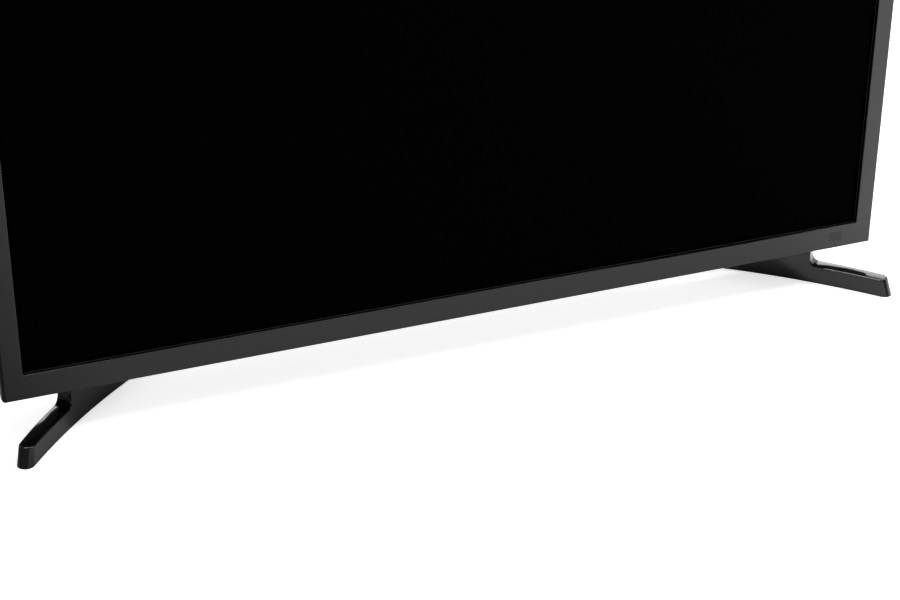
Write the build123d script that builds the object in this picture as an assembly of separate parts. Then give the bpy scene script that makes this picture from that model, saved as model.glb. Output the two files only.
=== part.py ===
from build123d import *
import math
import os

# Flat screen television on two feet. Millimetres, X to the right as seen by the viewer,
# Z up from the table. The pieces are drawn with Y counted backwards from the bezel's
# front face, and are moved at export so that the origin lies under the middle of the stand.

# Picture, bezel opening and body
picture_width = 697.7
picture_height = 392.3
side_margin = 3.75
edge_margin = 4.55
side_bezel = 16.1
bottom_bezel = 19.6
top_bezel = 17.0
floor_gap = 33.5
body_depth = 74.1
stand_depth = 151.4
foot_ahead = 41.1

# Fits and cutting allowance
seat_gap = 0.3
running_gap = 0.05
slip_gap = 0.5
overrun = 1.0

# Angle between square sides
quarter_turn = 90

# Front bezel
bezel_depth = 10.0
bezel_wall = 2.0
bezel_side_wall = 2.2
bezel_recess = 4.3
bezel_side_radius = 7.0
bezel_side_angle = 45
bezel_edge_radius = 1.0
opening_corner_radius = 1.5
opening_edge_radius = 0.7
lip_width = 2.4
gasket_width = 2.0
gasket_thickness = 0.7
cover_screw_inset = 6.6
cover_screw_reach = 150.0
cover_screw_rows = 4
bezel_boss_radius = 2.9
bezel_boss_gap = 1.0

# Remote control window and its board
sensor_x = 332.5
sensor_drop = 9.1
sensor_window_width = 12.0
sensor_window_height = 8.0
sensor_window_lip = 1.5
sensor_window_lip_thickness = 0.8
sensor_eye_radius = 2.6
sensor_eye_depth = 2.4
sensor_board_width = 26.0
sensor_board_height = 10.2
sensor_board_thickness = 1.0

# Liquid crystal cell and its drive board
glass_overlap = 4.6
glass_thickness = 0.8
glass_step = 3.0
flex_count = 4
flex_width = 38.0
flex_pitch = 150.0
flex_thickness = 0.3
flex_drop = 3.0
source_board_length = 520.0
source_board_depth = 11.0
source_board_thickness = 1.0
source_board_y = 13.0

# Middle frame, optical films and diffuser
mid_frame_margin = 1.5
mid_frame_ledge = 1.5
mid_frame_inner_margin = 1.5
mid_frame_skirt = 1.2
mid_frame_skirt_depth = 9.0
film_count = 3
film_thickness = 0.2
film_step = 0.3
film_inset = 4.0
diffuser_thickness = 1.5

# Steel pan with the backlight
pan_thickness = 0.8
pan_flange_width = 5.0
pan_depth = 15.2
pan_side_slope = 14.0
pan_corner_radius = 4.0
bead_count = 5
bead_pitch = 140.0
bead_width = 16.0
bead_length = 240.0
bead_height = 1.5
reflector_thickness = 0.4
reflector_lift = 2.1
led_bar_count = 2
led_bar_pitch = 190.0
led_bar_length = 600.0
led_bar_width = 14.0
led_bar_thickness = 1.2
led_count = 7
led_pitch = 92.0
led_size = 3.0
led_thickness = 0.8
lens_radius = 8.0
lens_foot_radius = 5.0
lens_foot_height = 1.6
lens_height = 5.0
lens_dimple_radius = 5.0
lens_dimple_depth = 2.0
lens_pocket_radius = 2.6

# Wall mount
wall_pitch = 100.0
wall_mount_height = 156.5
wall_post_radius = 4.6
wall_thread_radius = 2.0
wall_thread_depth = 12.0
wall_post_gap = 0.4

# Main board, its parts and its sockets
board_thickness = 1.6
board_standoff = 7.2
pillar_radius = 3.0
pillar_hole_radius = 1.3
pillar_inset = 5.0
main_board_width = 134.0
board_screw_gap = 1.4
chip_size = 22.0
chip_height = 2.2
memory_width = 9.0
memory_height = 13.0
memory_thickness = 1.1
heat_sink_size = 38.0
heat_sink_base = 2.5
heat_sink_height = 12.0
fin_count = 7
fin_thickness = 1.4
socket_depth = 14.0
socket_lift = 0.3
hdmi_width = 15.0
hdmi_height = 5.6
usb_width = 13.2
usb_height = 6.6
socket_shell = 0.5
socket_hollow_depth = 9.0
hdmi_tongue_width = 11.6
hdmi_tongue_thickness = 1.0
usb_tongue_width = 11.0
usb_tongue_thickness = 1.9
tongue_back = 2.0
audio_jack_width = 9.0
audio_jack_height = 9.0
audio_jack_radius = 1.8
audio_collar_radius = 3.4
tuner_width = 24.0
tuner_height = 12.0
tuner_depth = 44.0
aerial_flange_radius = 5.6
aerial_radius = 4.7
aerial_length = 9.0
aerial_hole_radius = 1.0
aerial_hole_depth = 7.0

# Power board and mains inlet
power_board_width = 139.0
power_board_height = 140.0
transformer_width = 36.0
transformer_height = 30.0
transformer_depth = 19.0
transformer_core_overhang = 4.0
transformer_pitch = 46.0
capacitor_radius = 9.0
capacitor_end_gap = 11.3
capacitor_count = 2
capacitor_pitch = 22.0
choke_radius = 10.0
choke_hole_radius = 4.5
choke_thickness = 10.0
inlet_width = 24.0
inlet_height = 13.0
inlet_depth = 20.0
inlet_mouth_width = 18.0
inlet_mouth_height = 9.2
inlet_mouth_depth = 12.0
inlet_pin_pitch = 8.6
inlet_pin_radius = 1.18
inlet_pin_length = 10.0
screw_head_radius = 2.6
screw_head_height = 1.6
screw_shank_radius = 1.2
screw_length = 6.0

# Rear cover: a thin rim, a shoulder low down and the deep housing for the boards
cover_wall = 2.2
rim_side_y = 20.0
rim_back_y = 31.0
rim_slope = 12.0
rim_corner_radius = 2.0
rim_back_radius = 8.0
shoulder_inset = 20.0
shoulder_height = 268.0
shoulder_back_y = 52.0
shoulder_slope = 17.0
shoulder_corner_radius = 12.0
shoulder_edge_radius = 4.0
housing_half_width = 240.0
housing_bottom_height = 62.0
housing_top_height = 252.0
housing_slope = 15.0
housing_corner_radius = 14.0
housing_edge_radius = 4.0
lap_thickness = 1.0
lap_depth = 2.0
lap_gap = 0.2
cover_tube_radius = 3.0
cover_column_radius = 4.2
cover_column_front_y = 15.6
cover_screw_seat_y = 17.5
cover_screw_bore = 3.3
cover_screw_engagement = 3.5
cover_screw_head_radius = 3.0
cover_screw_head_height = 1.8
cover_screw_radius = 1.5
cover_hole_radius = 1.7

# Recesses for the signal sockets and for the mains inlet
jack_wall_x = 206.0
recess_floor_y = 32.0
recess_run = 64.0
recess_ramp_run = 40.0
recess_ramp_rise = 26.0
jack_recess_bottom_height = 94.5
jack_recess_height = 130.0
jack_first = 14.0
jack_pitch = 21.0
power_recess_bottom_height = 112.0
power_recess_height = 56.0
socket_cut_gap = 0.4

# Vents in the housing and speaker slots in the underside
vent_width = 2.4
vent_length = 16.0
vent_pitch = 12.0
vent_count = 33
vent_row_drop = 27.5
vent_top_count = 41
vent_top_drop = 30.0
speaker_slot_width = 3.0
speaker_slot_length = 14.0
speaker_slot_pitch = 6.0
speaker_slot_count = 10

# Speakers
speaker_x = 185.0
speaker_y = 39.0
speaker_length = 150.0
speaker_depth = 19.0
speaker_height = 44.0
speaker_corner_radius = 3.0
speaker_gasket = 1.5
speaker_gasket_width = 1.2
driver_length = 56.0
driver_width = 15.0
driver_cavity = 22.0
surround_width = 2.4
surround_thickness = 0.5
surround_gap = 0.2
cone_travel = 1.0
cone_lift = 1.6
cone_thickness = 0.6
cone_draft = 4.0
cone_height = 3.0
coil_radius = 3.4
coil_wall = 0.5
coil_height = 7.0
magnet_radius = 6.6
grommet_radius = 4.0
ear_pin_radius = 2.0
grommet_height = 3.0
speaker_ear = 11.0
speaker_ear_thickness = 3.0

# Five way control at the lower left of the back, as seen from the front
control_x = -298.0
control_height = 60.0
control_board_size = 24.0
control_board_thickness = 1.2
control_base_size = 13.0
control_base_depth = 3.4
control_base_floor = 0.8
control_cup_radius = 4.8
control_pivot_y = 44.0
ring_outer_radius = 4.0
ring_inner_radius = 2.6
ring_thickness = 1.6
pivot_pin_radius = 0.5
pivot_pin_reach = 1.4
stem_hub_radius = 2.1
stem_hub_thickness = 1.4
stem_radius = 1.5
stem_length = 6.2
press_travel = 0.5
knob_radius = 6.0
knob_boss_radius = 2.6
knob_boss_front = 2.2
knob_cap_front = 6.8
knob_cap_thickness = 4.0
knob_edge_radius = 0.8
knob_dish_radius = 14.0
knob_dish_depth = 0.8
pocket_radius = 11.5
pocket_depth = 3.0
pocket_hole_gap = 1.5

# Feet
foot_near_end = 5.5
foot_near_middle = 5.2
foot_far_end = 7.7
foot_far_middle = 10.4
foot_draft = 0.6
foot_tip_inset = 7.1
foot_tip_setback = 5.8
foot_back_setback = 7.5
foot_middle_inset = 68.9
foot_middle_y = 34.3
foot_back_inset = 152.1
foot_height = 15.6
foot_floor_gap = 0.3
foot_tip_lean = 4.6
foot_edge_radius = 1.4
pad_thickness = 1.6
pad_length = 22.0
pad_width = 7.0
neck_start = 64.4
neck_length = 40.0
neck_fillet = 6.5
collar_height = 3.8
collar_gap = 0.3
spigot_inset = 3.2
spigot_gap = 0.4
spigot_height = 5.6
foot_hollow_wall = 2.0
foot_hollow_top = 2.4
foot_hollow_start = 26.0
foot_rib_pitch = 17.0
foot_rib_thickness = 1.4
foot_screw_pitch = 24.0
foot_screw_radius = 1.9
foot_screw_head_radius = 3.4
foot_screw_head_height = 2.6
foot_screw_hole_radius = 2.2
foot_screw_bore = 3.8
foot_screw_seat = 12.0
foot_screw_end_gap = 1.5
bracket_thickness = 2.0
bracket_margin = 6.0
bracket_rise = 50.0
bracket_thread_radius = 1.95

# Leads inside the housing
ribbon_width = 30.0
ribbon_thickness = 0.4
lead_radius = 1.2
lead_bend = 6.0
lead_pitch = 4.8
led_lead_rise = 18.0
harness_width = 16.0
harness_thickness = 2.0
plug_depth = 6.0
plug_length = 8.0
plug_rim = 2.0
control_plug_length = 6.0
control_plug_width = 8.0

# Sizes that follow from the ones above
opening_width = picture_width + 2 * side_margin
opening_height = picture_height + 2 * edge_margin
body_width = opening_width + 2 * side_bezel
body_height = opening_height + bottom_bezel + top_bezel
half_width = body_width / 2
body_bottom = floor_gap
body_top = floor_gap + body_height
screen_z = body_bottom + bottom_bezel + opening_height / 2
face_y = foot_ahead - stand_depth / 2

glass_front_y = bezel_recess
glass_back_y = glass_front_y + 2 * glass_thickness
glass_width = opening_width + 2 * glass_overlap
glass_height = opening_height + 2 * glass_overlap
ledge_front_y = glass_back_y + seat_gap
ledge_back_y = ledge_front_y + mid_frame_ledge
mid_frame_width = glass_width + 2 * mid_frame_margin
mid_frame_height = glass_height + 2 * mid_frame_margin
films_front_y = ledge_back_y + seat_gap
films_back_y = films_front_y + film_count * film_step
film_width = mid_frame_width - 2 * film_inset
film_height = mid_frame_height - 2 * film_inset
diffuser_front_y = films_back_y + film_step - film_thickness
diffuser_back_y = diffuser_front_y + diffuser_thickness
pan_front_y = diffuser_back_y + seat_gap
pan_width = mid_frame_width - 2 * (mid_frame_skirt + slip_gap)
pan_height = mid_frame_height - 2 * (mid_frame_skirt + slip_gap)
tray_width = pan_width - 2 * pan_flange_width
tray_height = pan_height - 2 * pan_flange_width
floor_width = tray_width - 2 * pan_side_slope
floor_height = tray_height - 2 * pan_side_slope
pan_back_y = pan_front_y + pan_depth + pan_thickness
pan_floor_y = pan_back_y - pan_thickness
led_bar_front_y = pan_floor_y - led_bar_thickness
reflector_back_y = pan_floor_y - reflector_lift

board_front_y = pan_back_y + board_standoff
board_back_y = board_front_y + board_thickness
jack_recess_bottom = body_bottom + jack_recess_bottom_height
jack_recess_top = jack_recess_bottom + jack_recess_height
jack_mouth_x = jack_wall_x - cover_wall - seat_gap
main_board_right = jack_mouth_x - seat_gap
main_board_left = main_board_right - main_board_width
tuner_z = jack_recess_top - jack_first - 5 * jack_pitch
lowest_screw_z = tuner_z - tuner_width / 2 - board_screw_gap - screw_head_radius
main_board_bottom = lowest_screw_z - pillar_inset
main_board_height = jack_recess_bottom + jack_recess_top - 2 * main_board_bottom
power_recess_bottom = body_bottom + power_recess_bottom_height
power_recess_top = power_recess_bottom + power_recess_height
power_inlet_z = (power_recess_bottom + power_recess_top) / 2
power_board_left = -jack_mouth_x + seat_gap
power_board_right = power_board_left + power_board_width
power_board_bottom = main_board_bottom
capacitor_length = body_depth - cover_wall - capacitor_end_gap - board_back_y
wall_mount_z = body_bottom + wall_mount_height

boss_end_y = bezel_depth - bezel_boss_gap
cover_screw_x = half_width - cover_screw_inset
cover_screw_top_z = body_top - cover_screw_inset
cover_screw_step = (body_height - 2 * cover_screw_inset) / (cover_screw_rows - 1)
neck_top = floor_gap - collar_height - collar_gap
neck_draft = foot_draft * neck_top / foot_height
control_z = body_bottom + control_height


def block(x_low, x_high, y_front, y_back, z_low, z_high):
    """A box between two values on each axis."""
    box = Box(x_high - x_low, y_back - y_front, z_high - z_low)
    return Pos((x_low + x_high) / 2, (y_front + y_back) / 2, (z_low + z_high) / 2) * box


def rod_y(x, z, radius, y_front, y_back):
    """A round bar that runs from front to back."""
    bar = Rot(quarter_turn, 0, 0) * Cylinder(radius, y_back - y_front)
    return Pos(x, (y_front + y_back) / 2, z) * bar


def rod_x(y, z, radius, x_low, x_high):
    """A round bar that runs from side to side."""
    bar = Rot(0, quarter_turn, 0) * Cylinder(radius, x_high - x_low)
    return Pos((x_low + x_high) / 2, y, z) * bar


def rod_z(x, y, radius, z_low, z_high):
    """A round bar that stands upright."""
    return Pos(x, y, (z_low + z_high) / 2) * Cylinder(radius, z_high - z_low)


def screen_plane(y):
    """A plane parallel to the screen whose sketches read X to the right and Z up."""
    return Plane(origin=(0, y, 0), x_dir=(1, 0, 0), z_dir=(0, -1, 0))


def slab(outline, y_front, y_back):
    """A sketch in X and Z made as thick as the space between two depths."""
    return extrude(screen_plane(y_back) * outline, amount=y_back - y_front)


def panel(width, height, y_front, y_back):
    """A rectangular sheet centred on the picture."""
    return slab(Pos(0, screen_z) * Rectangle(width, height), y_front, y_back)


def outline(half, z_low, z_high, radius):
    """A rectangle with round corners, from its half width and its two heights."""
    return Pos(0, (z_low + z_high) / 2) * RectangleRounded(2 * half, z_high - z_low, radius)


def frustum(front, back, y_front, y_back):
    """A moulded form that narrows from one outline to the next."""
    return loft([(screen_plane(y_front) * front).face(), (screen_plane(y_back) * back).face()], ruled=True)


def both_sides(piece):
    """A piece and its mirror image on the other side of the set."""
    return [piece, mirror(piece, about=Plane.YZ)]


def fused(pieces):
    """One solid, or group of solids, from a list."""
    return pieces[0] + pieces[1:]


def save(name, shape):
    """Write one node, moved so that the origin lies under the stand's middle."""
    export_step(Pos(0, face_y, 0) * shape, "parts/" + name + ".step")


def cover_screw_places():
    """X and Z of the screws that hold the rear cover to the bezel."""
    side = [(side * cover_screw_x, body_bottom + cover_screw_inset + row * cover_screw_step)
            for side in (-1, 1) for row in range(cover_screw_rows)]
    top = [(column * cover_screw_reach, cover_screw_top_z) for column in (-1, 0, 1)]
    return side + top


def front_bezel():
    """The moulded frame round the picture, with rounded flanks and a lip that holds the glass."""
    start = math.radians(bezel_side_angle)
    middle = (start + math.pi / 2) / 2
    flat = half_width - bezel_side_radius * (1 - math.sin(start))
    turn = half_width - bezel_side_radius * (1 - math.sin(middle))
    turn_y = bezel_side_radius * (math.cos(start) - math.cos(middle))
    side_y = bezel_side_radius * math.cos(start)
    profile = make_face([
        Line((-flat, 0), (flat, 0)),
        ThreePointArc((flat, 0), (turn, turn_y), (half_width, side_y)),
        Line((half_width, side_y), (half_width, bezel_depth)),
        Line((half_width, bezel_depth), (-half_width, bezel_depth)),
        Line((-half_width, bezel_depth), (-half_width, side_y)),
        ThreePointArc((-half_width, side_y), (-turn, turn_y), (-flat, 0)),
    ])
    body = extrude(Plane.XY.offset(body_bottom) * profile, amount=body_height)
    body = fillet(body.edges().filter_by(Axis.X).group_by(Axis.Y)[0], bezel_edge_radius)
    lip = Pos(0, screen_z) * Rectangle(opening_width + 2 * lip_width, opening_height + 2 * lip_width)
    inside = outline(half_width - bezel_side_wall, body_bottom + bezel_side_wall,
                     body_top - bezel_side_wall, opening_corner_radius)
    body -= slab(inside - lip, bezel_wall, bezel_depth + overrun)
    body -= slab(lip, bezel_recess - gasket_thickness, bezel_depth + overrun)
    hole = Pos(0, screen_z) * RectangleRounded(opening_width, opening_height, opening_corner_radius)
    body -= slab(hole, -overrun, bezel_depth)
    front = body.faces().sort_by(Axis.Y)[0]
    body = fillet(front.inner_wires()[0].edges(), opening_edge_radius)
    for x, z in cover_screw_places():
        body += rod_y(x, z, bezel_boss_radius, bezel_wall - overrun, boss_end_y)
        body -= rod_y(x, z, cover_screw_radius + running_gap, bezel_wall, boss_end_y + overrun)
    window = Pos(sensor_x, body_bottom + bottom_bezel - sensor_drop)
    pane = window * Rectangle(sensor_window_width, sensor_window_height)
    body -= slab(pane, -overrun, bezel_wall + overrun)
    return body


def sensor_window():
    """The dark window that lets the remote control's light through the bezel."""
    place = Pos(sensor_x, body_bottom + bottom_bezel - sensor_drop)
    pane = Rectangle(sensor_window_width - running_gap, sensor_window_height - running_gap)
    flange = Rectangle(sensor_window_width + sensor_window_lip, sensor_window_height + sensor_window_lip)
    flange_back = bezel_wall + sensor_window_lip_thickness
    return slab(place * pane, 0, bezel_wall) + slab(place * flange, bezel_wall, flange_back)


def sensor_board():
    """The small board behind the window, with the receiver's round eye."""
    front = bezel_wall + sensor_window_lip_thickness + sensor_eye_depth
    low = body_bottom + bezel_side_wall + seat_gap
    board = block(sensor_x - sensor_board_width / 2, sensor_x + sensor_board_width / 2,
                  front, front + sensor_board_thickness, low, low + sensor_board_height)
    eye_z = low + sensor_board_height / 2
    return board + rod_y(sensor_x, eye_z, sensor_eye_radius, front - sensor_eye_depth, front)


def screen_gasket():
    """Four foam strips between the bezel's lip and the glass."""
    y_front = bezel_recess - gasket_thickness
    x_edge = opening_width / 2
    z_low = screen_z - opening_height / 2
    z_high = screen_z + opening_height / 2
    side = block(x_edge, x_edge + gasket_width, y_front, bezel_recess, z_low, z_high)
    low = block(-x_edge - gasket_width, x_edge + gasket_width, y_front, bezel_recess,
                z_low - gasket_width, z_low)
    high = block(-x_edge - gasket_width, x_edge + gasket_width, y_front, bezel_recess,
                 z_high, z_high + gasket_width)
    return fused(both_sides(side) + [low, high])


def lcd_panel():
    """The bonded pair of glass sheets, the rear one longer at the bottom for its contacts."""
    front = slab(Pos(0, screen_z + glass_step / 2) * Rectangle(glass_width, glass_height - glass_step),
                 glass_front_y, glass_front_y + glass_thickness)
    return front + panel(glass_width, glass_height, glass_front_y + glass_thickness, glass_back_y)


def flex_places():
    """X of each flexible film along the bottom of the glass."""
    return [(n - (flex_count - 1) / 2) * flex_pitch for n in range(flex_count)]


def panel_flex_films():
    """Thin films that carry the picture from the drive board up to the glass."""
    glass_low = screen_z - glass_height / 2
    y_glass = glass_front_y + glass_thickness
    low = glass_low - flex_drop
    reach = source_board_y + glass_step
    films = []
    for x in flex_places():
        x_low = x - flex_width / 2
        x_high = x + flex_width / 2
        tab = block(x_low, x_high, y_glass - flex_thickness, y_glass, low, glass_low + glass_step / 2)
        run = block(x_low, x_high, y_glass - flex_thickness, reach, low - flex_thickness, low)
        films.append(tab + run)
    return fused(films)


def source_board():
    """The narrow board under the middle frame that drives the glass."""
    high = screen_z - glass_height / 2 - flex_drop - flex_thickness
    return block(-source_board_length / 2, source_board_length / 2, source_board_y,
                 source_board_y + source_board_depth, high - source_board_thickness, high)


def mid_frame():
    """The moulded frame between the glass and the backlight."""
    margin = 2 * mid_frame_inner_margin
    window = Rectangle(picture_width + margin, picture_height + margin)
    whole = Rectangle(mid_frame_width, mid_frame_height)
    inside = Rectangle(mid_frame_width - 2 * mid_frame_skirt, mid_frame_height - 2 * mid_frame_skirt)
    ledge = slab(Pos(0, screen_z) * (whole - window), ledge_front_y, ledge_back_y)
    skirt = slab(Pos(0, screen_z) * (whole - inside), ledge_front_y, ledge_front_y + mid_frame_skirt_depth)
    return ledge + skirt


def optical_films():
    """The stack of prism and diffusing films."""
    sheets = []
    for n in range(film_count):
        front = films_front_y + n * film_step
        sheets.append(panel(film_width, film_height, front, front + film_thickness))
    return fused(sheets)


def diffuser_plate():
    """The milky plate that spreads the backlight."""
    return panel(film_width, film_height, diffuser_front_y, diffuser_back_y)


def pan_outline(width, height, radius):
    """A round cornered rectangle centred on the picture."""
    return Pos(0, screen_z) * RectangleRounded(width, height, radius)


def bead_places():
    """X of each pressed bead in the pan."""
    return [(n - (bead_count - 1) / 2) * bead_pitch for n in range(bead_count)]


def board_holes():
    """X and Z of the pillars that carry the two boards."""
    places = []
    for left, low, width, height in (
            (main_board_left, main_board_bottom, main_board_width, main_board_height),
            (power_board_left, power_board_bottom, power_board_width, power_board_height)):
        for x in (left + pillar_inset, left + width - pillar_inset):
            for z in (low + pillar_inset, low + height - pillar_inset):
                places.append((x, z))
    return places


def back_pan():
    """The pressed steel tray that holds the backlight and carries the boards."""
    flange = slab(pan_outline(pan_width, pan_height, pan_corner_radius),
                  pan_front_y, pan_front_y + pan_thickness)
    wall = 2 * pan_thickness
    tray = frustum(pan_outline(tray_width + wall, tray_height + wall, pan_corner_radius),
                   pan_outline(floor_width + wall, floor_height + wall, pan_corner_radius),
                   pan_front_y, pan_back_y)
    pan = flange + tray
    for x in bead_places():
        bead = Pos(x, screen_z) * SlotOverall(bead_length, bead_width, rotation=90)
        pan += slab(bead, pan_floor_y, pan_back_y + bead_height)
    pan -= frustum(pan_outline(tray_width, tray_height, pan_corner_radius),
                   pan_outline(floor_width, floor_height, pan_corner_radius),
                   pan_front_y, pan_floor_y)
    for x in bead_places():
        inner = SlotOverall(bead_length - wall, bead_width - wall, rotation=90)
        pan -= slab(Pos(x, screen_z) * inner, pan_floor_y - overrun, pan_floor_y + bead_height)
    for x, z in board_holes():
        pan += rod_y(x, z, pillar_radius, pan_floor_y + pan_thickness / 2, board_front_y)
        pan -= rod_y(x, z, pillar_hole_radius, pan_back_y, board_front_y + overrun)
    for x in led_lead_places():
        pan -= rod_y(x, led_lead_z(), lead_radius + seat_gap, pan_floor_y - overrun,
                     pan_back_y + bead_height + overrun)
    return pan


def led_bar_places():
    """Z of each light bar."""
    return [screen_z + (row - (led_bar_count - 1) / 2) * led_bar_pitch for row in range(led_bar_count)]


def led_places():
    """X and Z of each lamp on the light bars."""
    return [((n - (led_count - 1) / 2) * led_pitch, z) for z in led_bar_places() for n in range(led_count)]


def reflector_sheet():
    """The white tray in front of the pan, with a hole round each lens foot."""
    shrink = 2 * (reflector_lift + reflector_thickness)
    outer = frustum(pan_outline(tray_width - shrink, tray_height - shrink, pan_corner_radius),
                    pan_outline(floor_width - shrink, floor_height - shrink, pan_corner_radius),
                    pan_front_y, reflector_back_y)
    wall = shrink + 2 * reflector_thickness
    inner = frustum(pan_outline(tray_width - wall, tray_height - wall, pan_corner_radius),
                    pan_outline(floor_width - wall, floor_height - wall, pan_corner_radius),
                    pan_front_y, reflector_back_y - reflector_thickness)
    sheet = outer - inner
    for x, z in led_places():
        hole = rod_y(x, z, lens_foot_radius + slip_gap, reflector_back_y - overrun, pan_floor_y)
        sheet -= hole
    return sheet


def led_bars():
    """Two aluminium boards that carry the lamps."""
    bars = []
    for z in led_bar_places():
        bars.append(block(-led_bar_length / 2, led_bar_length / 2, led_bar_front_y, pan_floor_y,
                          z - led_bar_width / 2, z + led_bar_width / 2))
    return fused(bars)


def led_chips():
    """The lamps themselves, one under each lens."""
    half = led_size / 2
    front = led_bar_front_y - led_thickness
    return fused([block(x - half, x + half, front, led_bar_front_y, z - half, z + half)
                  for x, z in led_places()])


def led_lenses():
    """Wide lenses with a dimpled crown that throw each lamp's light sideways."""
    foot_top = lens_foot_height
    profile = make_face([
        Line((lens_pocket_radius, 0), (lens_foot_radius, 0)),
        Line((lens_foot_radius, 0), (lens_foot_radius, foot_top)),
        Line((lens_foot_radius, foot_top), (lens_radius, foot_top)),
        Line((lens_radius, foot_top), (lens_dimple_radius, lens_height)),
        Line((lens_dimple_radius, lens_height), (0, lens_height - lens_dimple_depth)),
        Line((0, lens_height - lens_dimple_depth), (0, led_thickness + seat_gap)),
        Line((0, led_thickness + seat_gap), (lens_pocket_radius, led_thickness + seat_gap)),
        Line((lens_pocket_radius, led_thickness + seat_gap), (lens_pocket_radius, 0)),
    ])
    lens = revolve(Plane.XZ * profile, axis=Axis.Z)
    forward = Rot(quarter_turn, 0, 0) * lens
    return fused([Pos(x, led_bar_front_y, z) * forward for x, z in led_places()])


def wall_places():
    """X and Z of the four wall mount threads."""
    half = wall_pitch / 2
    return [(x, wall_mount_z + z) for x in (-half, half) for z in (-half, half)]


def wall_mount_posts():
    """Steel posts from the pan to the back face, threaded for the wall bracket's screws."""
    posts = []
    for x, z in wall_places():
        post = rod_y(x, z, wall_post_radius, pan_back_y, body_depth)
        post -= rod_y(x, z, wall_thread_radius, body_depth - wall_thread_depth, body_depth + overrun)
        posts.append(post)
    return fused(posts)


def jack_z(place):
    """Height of a socket's centre, counted down from the recess's top."""
    return jack_recess_top - jack_first - place * jack_pitch


def main_board():
    """The signal board beside the socket recess."""
    board = block(main_board_left, main_board_right, board_front_y, board_back_y,
                  main_board_bottom, main_board_bottom + main_board_height)
    for x, z in board_holes():
        board -= rod_y(x, z, pillar_hole_radius, board_front_y - overrun, board_back_y + overrun)
    return board


def chip_centre():
    """X and Z of the processor."""
    return (main_board_left + main_board_width / 3, main_board_bottom + main_board_height / 2)


def main_board_chips():
    """The processor and its memories."""
    x, z = chip_centre()
    half = chip_size / 2
    top = board_back_y + chip_height
    chips = [block(x - half, x + half, board_back_y, top, z - half, z + half)]
    reach = heat_sink_size / 2 + memory_height
    for z_memory in (z - reach, z + reach):
        chips.append(block(x - memory_width / 2, x + memory_width / 2, board_back_y,
                           board_back_y + memory_thickness, z_memory - memory_height / 2,
                           z_memory + memory_height / 2))
    return fused(chips)


def heat_sink():
    """The finned aluminium block on the processor."""
    x, z = chip_centre()
    half = heat_sink_size / 2
    seat = board_back_y + chip_height
    sink = block(x - half, x + half, seat, seat + heat_sink_base, z - half, z + half)
    step = (heat_sink_size - fin_thickness) / (fin_count - 1)
    for n in range(fin_count):
        left = x - half + n * step
        sink += block(left, left + fin_thickness, seat, seat + heat_sink_height, z - half, z + half)
    return sink


def shell_socket(place, width, height, tongue_width, tongue_thickness):
    """A sheet metal socket with its contact tongue, open towards the side."""
    z = jack_z(place)
    low = board_back_y + socket_lift
    y = low + height / 2
    x_back = jack_mouth_x - socket_depth
    shell = block(x_back, jack_wall_x - seat_gap, low, low + height, z - width / 2, z + width / 2)
    inner = block(jack_mouth_x - socket_hollow_depth, jack_wall_x + overrun, low + socket_shell,
                  low + height - socket_shell, z - width / 2 + socket_shell, z + width / 2 - socket_shell)
    tongue = block(x_back, jack_wall_x - tongue_back, y - tongue_thickness / 2, y + tongue_thickness / 2,
                   z - tongue_width / 2, z + tongue_width / 2)
    return shell - inner + tongue


def usb_socket():
    """The socket for a memory stick, at the top of the recess."""
    return shell_socket(0, usb_width, usb_height, usb_tongue_width, usb_tongue_thickness)


def hdmi_sockets():
    """The two digital video sockets."""
    return fused([shell_socket(place, hdmi_width, hdmi_height, hdmi_tongue_width, hdmi_tongue_thickness)
                  for place in (1, 2)])


def audio_jacks():
    """Two round jacks, for analogue picture and sound in and for sound out."""
    jacks = []
    low = board_back_y + socket_lift
    for place in (3, 4):
        z = jack_z(place)
        y = low + audio_jack_height / 2
        jack = block(jack_mouth_x - socket_depth, jack_mouth_x, low, low + audio_jack_height,
                     z - audio_jack_width / 2, z + audio_jack_width / 2)
        jack += rod_x(y, z, audio_collar_radius, jack_mouth_x, jack_wall_x - seat_gap)
        jack -= rod_x(y, z, audio_jack_radius, jack_mouth_x - socket_hollow_depth, jack_wall_x + overrun)
        jacks.append(jack)
    return fused(jacks)


def tuner():
    """The screened tuner can with the aerial's threaded barrel."""
    z = jack_z(5)
    low = board_back_y + socket_lift
    y = low + tuner_height / 2
    can = block(jack_mouth_x - tuner_depth, jack_mouth_x, low, low + tuner_height,
                z - tuner_width / 2, z + tuner_width / 2)
    end = jack_wall_x + aerial_length
    can += rod_x(y, z, aerial_flange_radius, jack_mouth_x, jack_wall_x)
    can += rod_x(y, z, aerial_radius, jack_wall_x, end)
    can -= rod_x(y, z, aerial_hole_radius, end - aerial_hole_depth, end + overrun)
    return can


def power_board():
    """The mains board beside the inlet's recess."""
    board = block(power_board_left, power_board_right, board_front_y, board_back_y,
                  power_board_bottom, power_board_bottom + power_board_height)
    for x, z in board_holes():
        board -= rod_y(x, z, pillar_hole_radius, board_front_y - overrun, board_back_y + overrun)
    return board


def transformers():
    """Two wound transformers with their ferrite cores."""
    x = power_board_right - pillar_inset - transformer_width
    middle = power_board_bottom + power_board_height / 2
    pieces = []
    for z in (middle - transformer_pitch / 2, middle + transformer_pitch / 2):
        half = transformer_width / 2
        winding = block(x - half + transformer_core_overhang, x + half - transformer_core_overhang,
                        board_back_y, board_back_y + transformer_depth,
                        z - transformer_height / 2, z + transformer_height / 2)
        core_half = transformer_height / 2 - transformer_core_overhang
        core = block(x - half, x + half, board_back_y + transformer_core_overhang,
                     board_back_y + transformer_depth + transformer_core_overhang / 2,
                     z - core_half, z + core_half)
        pieces.append(winding + core)
    return fused(pieces)


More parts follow.
